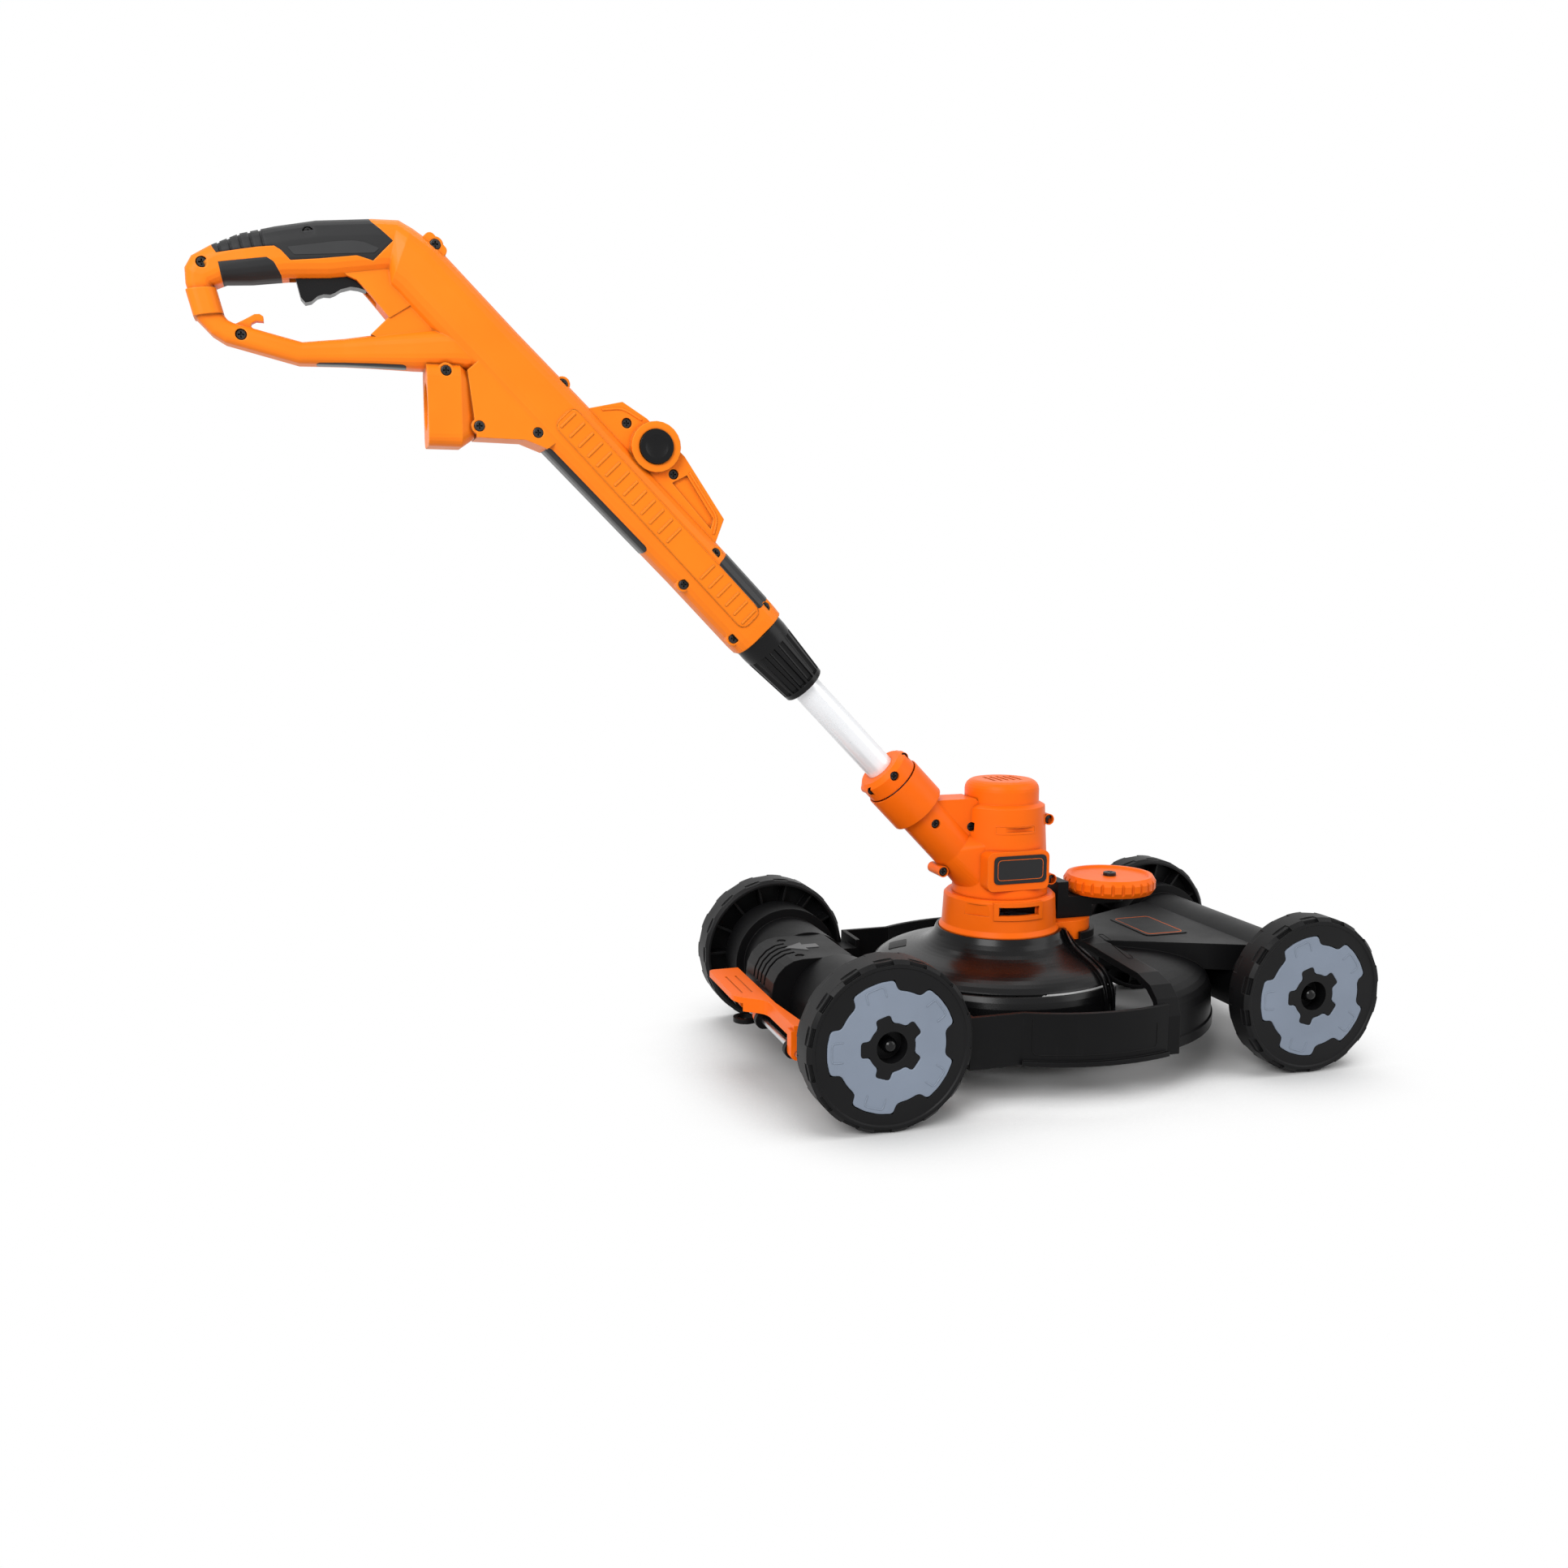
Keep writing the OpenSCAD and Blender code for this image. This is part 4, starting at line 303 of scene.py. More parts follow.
orange_shell = finish_of("orange_shell", (0.93, 0.209, 0.008, 1), (0.36, 0.46), drift=0.04, specular=0.16,
                         edge=0.0014, edge_highlight_colour=(0.95, 0.30, 0.03, 1), crease=0.55)
orange_gloss = finish_of("orange_gloss", (0.94, 0.145, 0.004, 1), (0.32, 0.40), drift=0.04, specular=0.12,
                         edge_highlight_colour=(0.95, 0.21, 0.02, 1), crease=0.55)
black_deck = finish_of("black_deck", (0.0030, 0.0030, 0.0033, 1), (0.38, 0.50), drift=0.2, specular=0.12,
                       edge=0.0009, edge_highlight_colour=(0.014, 0.014, 0.014, 1), scuffs=0.10,
                       scuff_colour=(0.03, 0.03, 0.03, 1))
black_gloss = finish_of("black_gloss", (0.0030, 0.0030, 0.0033, 1), (0.22, 0.30), drift=0.2, depth=0.00001,
                        specular=0.20, edge=0.0009, scuffs=0.08, scuff_colour=(0.02, 0.02, 0.02, 1))
black_satin = finish_of("black_satin", (0.0040, 0.0040, 0.0044, 1), (0.22, 0.30), drift=0.2, depth=0.00002,
                        specular=0.18, edge_highlight_colour=(0.018, 0.018, 0.018, 1))
black_cap = finish_of("black_cap", (0.0030, 0.0030, 0.0032, 1), (0.06, 0.10), drift=0.1, depth=0.000005,
                      specular=0.25)
black_wheel = finish_of("black_wheel", (0.0040, 0.0040, 0.0044, 1), (0.40, 0.52), drift=0.25, specular=0.17,
                        edge_highlight_colour=(0.015, 0.015, 0.015, 1))
soft_skin = finish_of("soft_skin", (0.014, 0.0142, 0.0150, 1), (0.50, 0.62), drift=0.15, grain=2600.0,
                      depth=0.00008, specular=0.28, edge=0.0025, edge_highlight_colour=(0.030, 0.030, 0.032, 1), crease=0.5)
dotted_skin = finish_of("dotted_skin", (0.024, 0.0245, 0.0255, 1), (0.50, 0.62), drift=0.15, specular=0.34,
                        dots=0.0005)
grey_cover = finish_of("grey_cover", (0.205, 0.243, 0.308, 1), (0.40, 0.50), drift=0.05, specular=0.32,
                       edge_highlight_colour=(0.30, 0.35, 0.42, 1), crease=0.4)
tube_silver = finish_of("tube_silver", (0.86, 0.87, 0.89, 1), (0.26, 0.34), drift=0.03, grain=400.0,
                        depth=0.000004, metallic=0.3, edge=0.0)
bare_steel = finish_of("bare_steel", (0.56, 0.57, 0.58, 1), (0.25, 0.38), drift=0.08, metallic=1.0, scuffs=0.3,
                       scuff_colour=(0.75, 0.75, 0.75, 1))
black_screw = finish_of("black_screw", (0.020, 0.019, 0.020, 1), (0.30, 0.42), drift=0.2, metallic=0.5, edge=0.0002,
                        edge_highlight_colour=(0.12, 0.12, 0.12, 1), crease=0.75)
line_nylon = finish_of("line_nylon", (0.88, 0.30, 0.05, 1), (0.28, 0.36), drift=0.05, edge=0.0001)
blank_plate = finish_of("blank_plate", (0.009, 0.009, 0.010, 1), (0.26, 0.34), drift=0.15, specular=0.30,
                        edge=0.0003, edge_highlight_colour=(0.03, 0.03, 0.03, 1))
pale_mark = finish_of("pale_mark", (0.050, 0.050, 0.052, 1), (0.34, 0.44), drift=0.2, edge=0.0003,
                      edge_highlight_colour=(0.09, 0.09, 0.09, 1))

FINISHES = {
    "orange": orange_shell, "black": black_deck, "guard": black_gloss, "grip": soft_skin, "grey": grey_cover,
    "tube": tube_silver, "steel": bare_steel, "screw": black_screw, "line": line_nylon,
}
GLOSSY_ORANGE = ("head_base", "motor_housing_right", "motor_housing_left", "swivel_cap", "swivel_sleeve",
                 "edge_wheel", "foot_pedal")


def dress(piece, material):
    piece.data.materials.clear()
    piece.data.materials.append(material)


for part in frame["record"]["subparts"]:
    dress(frame["nodes"][part["node"]], FINISHES[part["material_slot"]])
for name in GLOSSY_ORANGE:
    dress(frame["nodes"][name], orange_gloss)
for name in frame["nodes"]:
    if name.endswith("_wheel") and name != "edge_wheel":
        dress(frame["nodes"][name], black_wheel)
for name in ("lock_collar", "release_button", "trigger"):
    dress(frame["nodes"][name], black_satin)
dress(frame["nodes"]["axle_caps"], black_cap)


# Small pieces laid on the CAD surfaces

# Reach of the rays that find a surface, in metres; the rest in millimetres
REACH = 0.4
SINK = 0.4
SHEET_PITCH = 4.0
FINE_PITCH = 1.5
PANEL_PITCH = 2.0
LINE_STEP = 3.0
FINE_LINE = 1.0
PANEL_LINE = 1.2
BRACKET_LINE = 2.2
CORNER_STEPS = 4
CORNER_SHARE = 0.45
RIGHT, LEFT = -1, 1
ABOVE = Matrix.Identity(4)


def piece_of(name, points, faces, material, body):
    """Piece of its own from points in metres, riding on a body."""
    mesh = bpy.data.meshes.new(name)
    mesh.from_pydata(points, [], faces)
    mesh.update()
    piece = bpy.data.objects.new(name, mesh)
    bpy.context.scene.collection.objects.link(piece)
    dress(piece, material)
    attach(piece, body)
    return piece


def surface_of(*names):
    """Surface of some nodes of the frame, to lay thin pieces on."""
    return surface_from(*(frame["nodes"][name].data for name in names))


def surface_from(*meshes):
    points, faces = [], []
    for mesh in meshes:
        start = len(points)
        points += [v.co.copy() for v in mesh.vertices]
        faces += [[start + i for i in p.vertices] for p in mesh.polygons]
    return BVHTree.FromPolygons(points, faces)


def facing(base, along, out):
    """Frame on a base frame whose x runs along and whose z points out."""
    x, z = Vector(along).normalized(), Vector(out).normalized()
    turn = Matrix((x, z.cross(x), z)).transposed()
    return base @ turn.to_4x4()


def side_of(base, side):
    """Frame seen from the right or the left of the machine, with x forward or back and y up."""
    return facing(base, (-side, 0, 0), (0, side, 0))


def laid(surface, place, u, v, lift):
    """Point of a surface under a place of a frame, lifted off it, in metres."""
    out = (place.to_3x3() @ Vector((0, 0, 1))).normalized()
    start = place @ Vector((u * MM, v * MM, REACH))
    spot = surface.ray_cast(start, -out, 2 * REACH)[0]
    if spot is None:
        raise ValueError(f"no surface under {u:.1f}, {v:.1f}")
    return spot + out * lift * MM


def softened(points, radius, closed=True):
    """Outline with its corners rounded."""
    found = []
    count = len(points)
    for i, point in enumerate(points):
        corner = Vector(point)
        if not closed and i in (0, count - 1):
            found.append(corner)
            continue
        before = Vector(points[i - 1]) - corner
        after = Vector(points[(i + 1) % count]) - corner
        reach = min(radius, before.length * CORNER_SHARE, after.length * CORNER_SHARE)
        first, last = corner + before.normalized() * reach, corner + after.normalized() * reach
        for k in range(CORNER_STEPS + 1):
            t = k / CORNER_STEPS
            found.append(first * (1 - t) ** 2 + corner * 2 * t * (1 - t) + last * t ** 2)
    return found


def rectangle(u0, u1, v0, v1):
    return [(u0, v0), (u1, v0), (u1, v1), (u0, v1)]


def sheet_on(name, surface, place, outline, lift, material, body, pitch=SHEET_PITCH):
    """Thin closed plate that follows a surface."""
    sheet = bmesh.new()
    sheet.faces.new([sheet.verts.new((p[0], p[1], 0)) for p in outline])
    for axis, way in enumerate((Vector((1, 0, 0)), Vector((0, 1, 0)))):
        low, high = min(p[axis] for p in outline), max(p[axis] for p in outline)
        for k in range(math.floor(low / pitch) + 1, math.ceil(high / pitch)):
            every = sheet.verts[:] + sheet.edges[:] + sheet.faces[:]
            bmesh.ops.bisect_plane(sheet, geom=every, plane_co=way * k * pitch, plane_no=way)
    sheet.verts.index_update()
    flat = [v.co.copy() for v in sheet.verts]
    count = len(flat)
    faces = [[v.index for v in face.verts] for face in sheet.faces]
    sides = []
    for edge in sheet.edges:
        if edge.is_boundary:
            loop = edge.link_loops[0]
            a, b = loop.vert.index, loop.link_loop_next.vert.index
            sides.append((b, a, count + a, count + b))
    sheet.free()
    top = [laid(surface, place, p.x, p.y, lift) for p in flat]
    under = [laid(surface, place, p.x, p.y, -SINK) for p in flat]
    below = [[count + i for i in reversed(face)] for face in faces]
    return piece_of(name, top + under, faces + below + sides, material, body)


BEAD = ((-0.5, -1.0), (-0.38, 0.6), (0, 1.0), (0.38, 0.6), (0.5, -1.0))


def bead_points(surface, place, path, closed, width, height):
    """Points and faces of a raised line that follows a surface."""
    count = len(path)
    points = []
    for i, spot in enumerate(path):
        before = path[i - 1] if closed or i else spot
        after = path[(i + 1) % count] if closed or i < count - 1 else spot
        way = (after - before).normalized()
        across = Vector((-way.y, way.x))
        for share, rise in BEAD:
            u, v = spot + across * share * width
            points.append(laid(surface, place, u, v, rise * (height if rise > 0 else SINK)))
    ring = len(BEAD)
    faces = []
    for i in range(count if closed else count - 1):
        a, b = i * ring, (i + 1) % count * ring
        faces += [(a + k, b + k, b + (k + 1) % ring, a + (k + 1) % ring) for k in range(ring)]
    if not closed:
        faces += [tuple(range(ring)), tuple((count - 1) * ring + k for k in reversed(range(ring)))]
    return points, faces


def stepped(path, closed):
    """Path with points no further apart than the line step."""
    found = []
    ends = list(zip(path, path[1:] + path[:1])) if closed else list(zip(path, path[1:]))
    for a, b in ends:
        parts = max(1, math.ceil((b - a).length / LINE_STEP))
        found += [a.lerp(b, k / parts) for k in range(parts)]
    return found if closed else found + [path[-1]]


def beads_on(name, surface, lines, width, height, material, body):
    """Raised lines on a surface, as one piece. Each line is its frame, its path, and whether it closes."""
    points, faces = [], []
    for place, path, closed in lines:
        new_points, new_faces = bead_points(surface, place, stepped(path, closed), closed, width, height)
        faces += [[len(points) + i for i in face] for face in new_faces]
        points += new_points
    return piece_of(name, points, faces, material, body)


# Screws with cross recesses, in place of the plain CAD screws

CROSS_ARM = 0.6
CROSS_SHARE = 0.27
CROSS_DEPTH = 0.42
CROSS_FOOT = 0.55
HEAD_ROUND = ((0.80, 0.0), (0.92, 0.06), (1.0, 0.22))
SCREW_SIDES = 24
SHANK_SHARE = 0.45
TIP_SHARE = 0.3
WELD = 0.00001
END_BAND = 0.05


def solids_of(name):
    """Points of each separate solid of a node."""
    work = bmesh.new()
    work.from_mesh(frame["nodes"][name].data)
    bmesh.ops.remove_doubles(work, verts=work.verts, dist=WELD)
    left = set(work.verts)
    found = []
    while left:
        queue = [left.pop()]
        group = []
        while queue:
            vert = queue.pop()
            group.append(vert.co.copy())
            for edge in vert.link_edges:
                other = edge.other_vert(vert)
                if other in left:
                    left.remove(other)
                    queue.append(other)
        found.append(group)
    work.free()
    return found


def screw_place(points):
    """Frame of a screw with z running in from its head's face, its head's radius, and its length."""
    low = Vector(min(p[k] for p in points) for k in range(3))
    high = Vector(max(p[k] for p in points) for k in range(3))
    size, middle = high - low, (low + high) / 2
    spread = [abs(size[(k + 1) % 3] - size[(k + 2) % 3]) for k in range(3)]
    axis = spread.index(min(spread))

    def reach_at(end):
        rim = [(p - middle) for p in points if abs(p[axis] - end) < size[axis] * END_BAND]
        return max(math.hypot(d[(axis + 1) % 3], d[(axis + 2) % 3]) for d in rim)

    way = Vector((0, 0, 0))
    face = middle.copy()
    head_low = reach_at(low[axis]) > reach_at(high[axis])
    way[axis] = 1 if head_low else -1
    face[axis] = low[axis] if head_low else high[axis]
    place = Matrix.Translation(face) @ way.to_track_quat("Z", "Y").to_matrix().to_4x4()
    return place, size[(axis + 1) % 3] / 2, size[axis]


def cross_outline(reach, half):
    arms = [(reach, half), (half, half), (half, reach)]
    return [(Matrix.Rotation(math.pi / 2 * q, 2) @ Vector(p)) for q in range(4) for p in arms]


def screw_points(place, radius, length, head_share):
    """Points and faces of one screw: pan head with a cross recess, and its shank."""
    head = 2 * radius * head_share
    shank = radius * SHANK_SHARE
    rings = [(r * radius, z * head) for r, z in HEAD_ROUND]
    rings += [(radius, head), (shank, head), (shank, length), (shank * TIP_SHARE, length)]
    points, faces = [], []
    for r, z in rings:
        turn = [2 * math.pi * (k + 0.5) / SCREW_SIDES for k in range(SCREW_SIDES)]
        points += [(r * math.cos(a), r * math.sin(a), z) for a in turn]
    for i in range(len(rings) - 1):
        a, b = i * SCREW_SIDES, (i + 1) * SCREW_SIDES
        faces += [(a + k, a + (k + 1) % SCREW_SIDES, b + (k + 1) % SCREW_SIDES, b + k) for k in range(SCREW_SIDES)]
    last = (len(rings) - 1) * SCREW_SIDES
    faces.append(tuple(last + k for k in range(SCREW_SIDES)))
    mouth = cross_outline(radius * CROSS_ARM, radius * CROSS_ARM * CROSS_SHARE)
    foot = [p * CROSS_FOOT for p in mouth]
    top, low = len(points), len(points) + len(mouth)
    points += [(p.x, p.y, 0) for p in mouth] + [(p.x, p.y, radius * CROSS_DEPTH) for p in foot]
    size = len(mouth)
    faces += [(top + k, low + k, low + (k + 1) % size, top + (k + 1) % size) for k in range(size)]
    faces.append(tuple(low + k for k in reversed(range(size))))
    for k in range(size):
        rim = [2 * k, 2 * k + 1, (2 * k + 2) % SCREW_SIDES]
        faces.append((top + (k + 1) % size, *reversed(rim), top + k))
    return [place @ Vector(p) for p in points], faces


def make_screws(name, node, body, head_share=0.4):
    """Cross-recess screws in the places of a node's solids."""
    points, faces = [], []
    for solid in solids_of(node):
        new_points, new_faces = screw_points(*screw_place(solid), head_share)
        faces += [[len(points) + i for i in face] for face in new_faces]
        points += new_points
    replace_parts(piece_of(name, points, faces, black_screw, body), node)


make_screws("cross_screws_handle", "handle_screws", "handle")
make_screws("cross_screws_head", "head_screws", "deck")
make_screws("cross_screws_swivel", "swivel_screws", "shaft")
make_screws("cross_screws_latch", "latch_screws", "deck")
make_screws("cross_screw_guide_wheel", "edge_wheel_screw", "deck", head_share=0.25)


# Copies of the springs, in place of the CAD springs, each riding on a body


def make_squeezed(node, body, way):
    """Copy of a spring with a mesh of its own, in place of the CAD spring."""
    mesh = frame["nodes"][node].data
    points = [v.co.copy() for v in mesh.vertices]
    faces = [tuple(p.vertices) for p in mesh.polygons]
    piece = piece_of("squeezed_" + node, points, faces, bare_steel, body)
    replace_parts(piece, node)
    way = Vector(way).normalized()
    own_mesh(piece)


make_squeezed("swivel_spring", "shaft", SHAFT.to_3x3() @ Vector((0, 0, 1)))
make_squeezed("button_spring", "handle", (0, 1, 0))
make_squeezed("trigger_spring", "handle", GRIP.to_3x3() @ Vector((1, 0, 0)))


# Bare plates on the handle

housing = surface_of("handle_housing_right", "handle_housing_left")
skin = surface_of("top_grip")
BARREL_UNDER = facing(SHAFT, (0, 0, 1), (-1, 0, 0))
BARREL_CORNER = facing(SHAFT, (0, 0, 1), (1, -1, 0))
ARM_CORNER = facing(GRIP, (0, 0, 1), (-1, -0.7, 0))
PLATE_LIFT = 0.35
PANEL_LIFT = 0.3
BARREL_STRIP = rectangle(452, 563, -17, 17)
LOWER_STRIP = rectangle(354, 404, -13, 8.5)
ARM_STRIP = [(14, 35.5), (77, 30.3), (77, 42.3), (14, 47.5)]

sheet_on("bare_strip_barrel", housing, BARREL_UNDER, softened(BARREL_STRIP, 4), PLATE_LIFT,
         blank_plate, "handle", FINE_PITCH)
sheet_on("bare_strip_arm", housing, ARM_CORNER, softened(ARM_STRIP, 3), PLATE_LIFT, blank_plate, "handle",
         FINE_PITCH)
sheet_on("bare_strip_lower", housing, BARREL_CORNER, softened(LOWER_STRIP, 3), PLATE_LIFT,
         blank_plate, "handle", FINE_PITCH)

GRIP_PANEL = ((76, 14.3), (72.6, 8.1), (16.2, 0.6), (11.8, 3.2), (21.3, 9.1), (29.2, 11.5), (42.7, 12.9))
BARREL_PANEL = softened(rectangle(352, 572, -11, 11), 6)
# Edges of the bracket on the barrel, along the shaft and across it
FIN_EDGES = (((555, 28), (545, 41), (528, 46)), ((472, 46.5), (430, 38.5), (423, 27)))
panel_lines, fin_lines = [], []
for side, word in ((RIGHT, "right"), (LEFT, "left")):
    place = facing(GRIP, (0, 0, 1), (0, side, 0))
    outline = [(g, side * h) for g, h in GRIP_PANEL]
    if side == LEFT:
        outline.reverse()
    sheet_on("dotted_panel_" + word, skin, place, softened(outline, 1.5), PANEL_LIFT, dotted_skin, "handle",
             PANEL_PITCH)
    barrel_side = facing(SHAFT, (0, 0, 1), (0, side, 0))
    panel_lines.append((barrel_side, BARREL_PANEL, True))
    for edge in FIN_EDGES:
        fin_lines.append((barrel_side, softened([(s, side * t) for s, t in edge], 6, closed=False), False))
beads_on("barrel_panel_lines", housing, panel_lines, PANEL_LINE, 0.4, orange_shell, "handle")
beads_on("bracket_edge_lines", housing, fin_lines, BRACKET_LINE, 1.0, orange_shell, "handle")


# Plates and marks on the head and the deck

motor_side = surface_of("motor_housing_right")
deck = surface_of("deck_shell")
FROM_RIGHT = side_of(Matrix.Identity(4), RIGHT)
FROM_LEFT = side_of(Matrix.Identity(4), LEFT)
BADGE = softened(rectangle(155, 206, 164, 189), 5)
BADGE_BORDER = softened(rectangle(158.5, 202.5, 167.5, 185.5), 4)
MOTOR_SLOT = softened(rectangle(160, 197, 207.5, 214.5), 2)
DECK_PANEL = softened(rectangle(317, 362, -35, 35), 6)
DECK_BORDER = softened(rectangle(321, 358, -31, 31), 5)
GUARD_PATCH = softened(rectangle(-8, 8, -12, 12), 2)

beads_on("motor_slot_lines", motor_side, [(FROM_RIGHT, MOTOR_SLOT, True)], PANEL_LINE, 0.4, orange_gloss, "deck")
sheet_on("bare_badge", motor_side, FROM_RIGHT, BADGE, 0.7, blank_plate, "deck")
beads_on("badge_border_line", motor_side, [(FROM_RIGHT, BADGE_BORDER, True)], FINE_LINE, 0.95, orange_gloss, "deck")
sheet_on("bare_plateau_panel", deck, ABOVE, DECK_PANEL, 0.8, black_deck, "deck")
beads_on("panel_border_line", deck, [(ABOVE, DECK_BORDER, True)], PANEL_LINE, 1.05, orange_gloss, "deck")

ARROW = [(-24, 0), (-6, -13), (-7, -5.5), (6, -5.5), (6, 5.5), (-7, 5.5), (-6, 13)]
sheet_on("latch_arrow", surface_of("latch_housing"), ABOVE, softened(ARROW, 0.8), 0.6, pale_mark, "deck")

GUARD_MARK = Matrix.Translation(Vector((98, 38, 0)) * MM) @ Matrix.Rotation(math.radians(156), 4, "Z")
sheet_on("bare_guard_mark", surface_of("guard"), GUARD_MARK, GUARD_PATCH, 0.5, black_deck, "deck")

SLOT_ENDS = (Vector((279, -16)), Vector((266, -92)))
SLOT_HALF = 2.5


def slot_path(a, b, half):
    """Outline of a round-ended slot between two points."""
    across = (b - a).orthogonal().normalized() * half
    return softened([a + across, b + across, b - across, a - across], half)


RAIL_PANEL = [(138, 78), (138, 47), (246, 47), (246, 68)]
rail_path = softened(RAIL_PANEL, 5, closed=False)
mirrored = [Vector((-p.x, p.y)) for p in rail_path]
rail_lines = [(FROM_RIGHT, rail_path, False), (FROM_LEFT, mirrored, False)]
beads_on("rail_panel_lines", deck, rail_lines, PANEL_LINE, 0.5, black_deck, "deck")
bridge_slot = slot_path(*SLOT_ENDS, SLOT_HALF)
beads_on("bridge_slot_line", deck, [(ABOVE, bridge_slot, True)], FINE_LINE, 0.4, black_deck, "deck")


# Wheel covers with rounded lobes, in place of the plain CAD covers

LOBES = 5
COVER_R = 54
NOTCH_R = 46
NOTCH_ANGLE = math.radians(12.75)
LOBE_ANGLE = math.radians(16.5)
HOLE_R = 20
LUG_REACH = 26
LUG_HALF = 6.5
COVER_T = 2.4
COVER_PROUD = 0.5
COVER_EDGE = ((0.0, -COVER_T), (0.0, -0.1), (0.25, 0.3), (0.8, COVER_PROUD))
CORNER_R = 3.6
LOBE_LINE = [(41, -8), (50, -8), (50, 8), (41, 8)]


def arc(radius, start, end, steps):
    """Points of a circle from one angle to another."""
    turns = [start + (end - start) * k / steps for k in range(steps + 1)]
    return [(radius * math.cos(a), radius * math.sin(a)) for a in turns]


def cover_rim():
    """Outer outline of a cover: lobes on its full radius, with a notch between each two."""
    step = 2 * math.pi / LOBES
    found = []
    for i in range(LOBES):
        found += arc(NOTCH_R, i * step - NOTCH_ANGLE, i * step + NOTCH_ANGLE, 2)
        found += arc(COVER_R, i * step + LOBE_ANGLE, (i + 1) * step - LOBE_ANGLE, 3)
    return stepped(softened(found, CORNER_R), True)


def cover_hole():
    """Hole of a cover, with a lug of the hub in the middle of each lobe."""
    step = 2 * math.pi / LOBES
    lug_angle = math.asin(LUG_HALF / HOLE_R)
    found = []
    for i in range(LOBES):
        middle = (i + 0.5) * step
        turn = Matrix.Rotation(middle, 2)
        found += [tuple(turn @ Vector((LUG_REACH, side * LUG_HALF))) for side in (-1, 1)]
        found += arc(HOLE_R, middle + lug_angle, middle + step - lug_angle, 2)
    return stepped(softened(found, CORNER_R), True)


def inset(path, distance):
    """Closed path moved to its left by a distance."""
    count = len(path)
    ways = [(path[(i + 1) % count] - path[i - 1]).normalized() for i in range(count)]
    return [p + Vector((-way.y, way.x)) * distance for p, way in zip(path, ways)]


def make_cover(name, place, face, turn):
    """Cover with rounded edges, whose CAD face lies at a height of its wheel's frame."""
    work = bmesh.new()
    edges = []
    for path, side in ((cover_rim(), 1), (cover_hole(), -1)):
        rings = []
        for share, height in COVER_EDGE:
            ring = [turn @ p for p in inset(path, side * share)]
            rings.append([work.verts.new(place @ Vector((p.x * MM, p.y * MM, face + height * MM))) for p in ring])
        for low, high in zip(rings, rings[1:]):
            for k in range(len(low)):
                after = (k + 1) % len(low)
                corners = (low[k], low[after], high[after], high[k])
                work.faces.new(corners if side > 0 else corners[::-1])
        edges += [work.edges.get((rings[-1][k - 1], rings[-1][k])) for k in range(len(path))]
    bmesh.ops.triangle_fill(work, use_beauty=True, edges=edges)
    bmesh.ops.recalc_face_normals(work, faces=work.faces)
    work.verts.index_update()
    points = [v.co.copy() for v in work.verts]
    faces = [[v.index for v in f.verts] for f in work.faces]
    work.free()
    cover = piece_of("rounded_cover_" + name, points, faces, grey_cover, name)
    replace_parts(cover, name + "_cover")
    return cover


for name, axle_x, side in (("rear_right", REAR_AXLE_X, RIGHT), ("rear_left", REAR_AXLE_X, LEFT),
                           ("front_right", FRONT_AXLE_X, RIGHT), ("front_left", FRONT_AXLE_X, LEFT)):
    hub = Matrix.Translation(Vector((axle_x, 0, AXLE_Z)) * MM)
    place = side_of(hub, side)
    half_turn = math.pi if side == LEFT else 0
    face = max(side * v.co.y for v in frame["nodes"][name + "_cover"].data.vertices)
    cover = make_cover(name, place, face, Matrix.Rotation(half_turn, 2))
    lines = []
    for i in range(LOBES):
        turn = Matrix.Rotation(2 * math.pi * (i + 0.5) / LOBES + half_turn, 2)
        lines.append((place, [turn @ p for p in softened(LOBE_LINE, 3, closed=False)], False))
    beads_on("lobe_lines_" + name, surface_from(cover.data), lines, PANEL_LINE, 0.45, grey_cover, name)


# Studio

FLOOR_HALF = 6.0
FLOOR_MIDDLE = (0.2, 0.0, 0.0)
FADE_START = 0.45
FADE_END = 0.80
SHADOW_REACH = 0.16
SHADOW_FULL = 0.48
SHADOW_NONE = 0.86
FLOOR_GREY = (0.66, 0.66, 0.66, 1)
AIR_LEVEL = 0.47
CAMERA_PLACE = Vector((-402.1, -1172.2, 436.5)) * MM
CAMERA_YAW = 0.311
CAMERA_PITCH = 0.146
CAMERA_ROLL = 0.003
CAMERA_LENS = 33.16


def shown_as_white(tree):
    """Camera, glossy and transmission rays, as one factor."""
    path = add(tree, "ShaderNodeLightPath")
    seen = maths(tree, "MAXIMUM", path.outputs["Is Camera Ray"], path.outputs["Is Glossy Ray"])
    return maths(tree, "MAXIMUM", seen, path.outputs["Is Transmission Ray"])


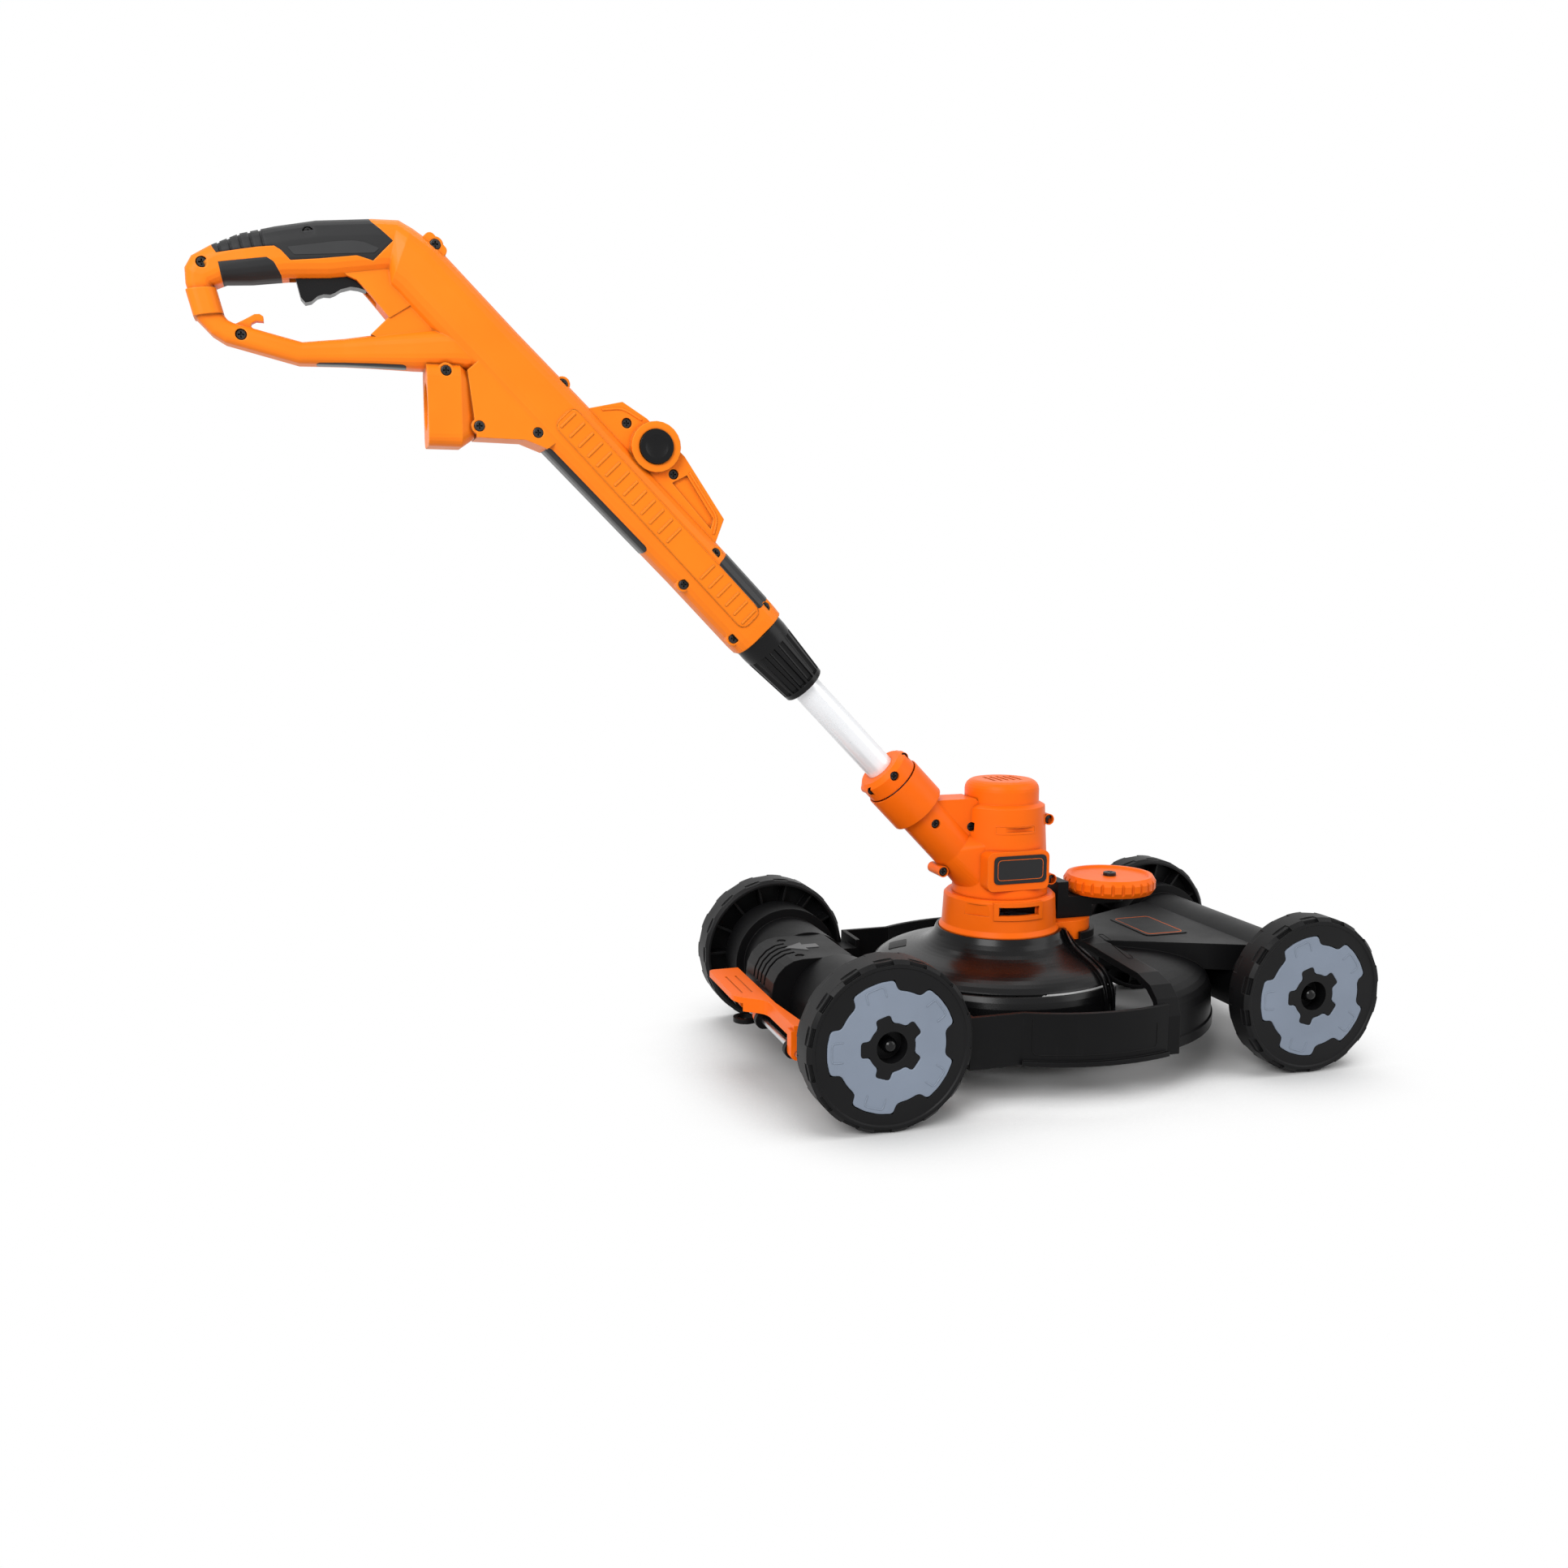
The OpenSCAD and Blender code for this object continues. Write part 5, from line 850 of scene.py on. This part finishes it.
def make_floor():
    """Pale floor that keeps the shadow near the machine and runs out to white."""
    mesh = bpy.data.meshes.new("studio_floor")
    half = FLOOR_HALF
    mesh.from_pydata([(-half, -half, 0), (half, -half, 0), (half, half, 0), (-half, half, 0)], [], [(0, 1, 2, 3)])
    floor = bpy.data.objects.new("studio_floor", mesh)
    bpy.context.scene.collection.objects.link(floor)
    material = bpy.data.materials.new("pale_floor")
    material.use_nodes = True
    tree = material.node_tree
    shader = tree.nodes["Principled BSDF"]
    shader.inputs["Base Color"].default_value = FLOOR_GREY
    shader.inputs["Roughness"].default_value = 0.9
    shader.inputs["Specular IOR Level"].default_value = 0.1
    away = add(tree, "ShaderNodeVectorMath", operation="DISTANCE")
    tree.links.new(add(tree, "ShaderNodeNewGeometry").outputs["Position"], away.inputs[0])
    away.inputs[1].default_value = FLOOR_MIDDLE
    far = ranged(tree, away.outputs["Value"], FADE_START, FADE_END, 0.0, 1.0)
    open_air = add(tree, "ShaderNodeAmbientOcclusion", samples=16)
    open_air.inputs["Distance"].default_value = SHADOW_REACH
    clear = ranged(tree, open_air.outputs["AO"], SHADOW_FULL, SHADOW_NONE, 0.0, 1.0)
    fade = maths(tree, "MAXIMUM", far, clear)
    glow = add(tree, "ShaderNodeEmission")
    mix = add(tree, "ShaderNodeMixShader")
    tree.links.new(maths(tree, "MULTIPLY", fade, shown_as_white(tree)), mix.inputs[0])
    tree.links.new(shader.outputs[0], mix.inputs[1])
    tree.links.new(glow.outputs[0], mix.inputs[2])
    tree.links.new(mix.outputs[0], tree.nodes["Material Output"].inputs["Surface"])
    mesh.materials.append(material)


def make_world():
    """Even white air that lights the machine at a plain level."""
    world = bpy.data.worlds.new("studio_air")
    world.use_nodes = True
    bpy.context.scene.world = world
    tree = world.node_tree
    tree.nodes.clear()
    output = add(tree, "ShaderNodeOutputWorld")
    air = add(tree, "ShaderNodeBackground")
    air.inputs["Color"].default_value = (1, 1, 1, 1)
    level = ranged(tree, shown_as_white(tree), 0.0, 1.0, AIR_LEVEL, 1.0)
    tree.links.new(level, air.inputs["Strength"])
    tree.links.new(air.outputs[0], output.inputs["Surface"])


def make_lamp(name, place, target, size, power):
    """Soft lamp turned towards a target."""
    light = bpy.data.lights.new(name, "AREA")
    light.shape = "RECTANGLE"
    light.size, light.size_y = size
    light.energy = power
    lamp = bpy.data.objects.new(name, light)
    lamp.location = place
    lamp.rotation_euler = (Vector(target) - Vector(place)).to_track_quat("-Z", "Y").to_euler()
    bpy.context.scene.collection.objects.link(lamp)


def make_camera():
    """Camera at the photo's place."""
    lens = bpy.data.cameras.new("photo_camera")
    lens.sensor_width = 36
    lens.lens = CAMERA_LENS
    lens.clip_end = 50
    camera = bpy.data.objects.new("photo_camera", lens)
    camera.location = CAMERA_PLACE
    turn = Matrix.Rotation(-CAMERA_YAW, 4, "Z") @ Matrix.Rotation(math.pi / 2 - CAMERA_PITCH, 4, "X")
    camera.rotation_euler = (turn @ Matrix.Rotation(CAMERA_ROLL, 4, "Z")).to_euler()
    bpy.context.scene.collection.objects.link(camera)
    bpy.context.scene.camera = camera


make_floor()
make_world()
make_lamp("key_lamp", (-1.5, -1.6, 1.6), (0.0, 0.0, 0.3), (1.4, 1.4), 50)
make_lamp("fill_lamp", (1.8, -1.2, 1.4), (0.1, 0.0, 0.3), (1.4, 1.8), 14)
make_lamp("top_lamp", (0.1, 0.8, 2.4), (0.0, 0.0, 0.3), (2.0, 1.2), 13)
make_camera()
bpy.context.scene.view_settings.view_transform = "Standard"
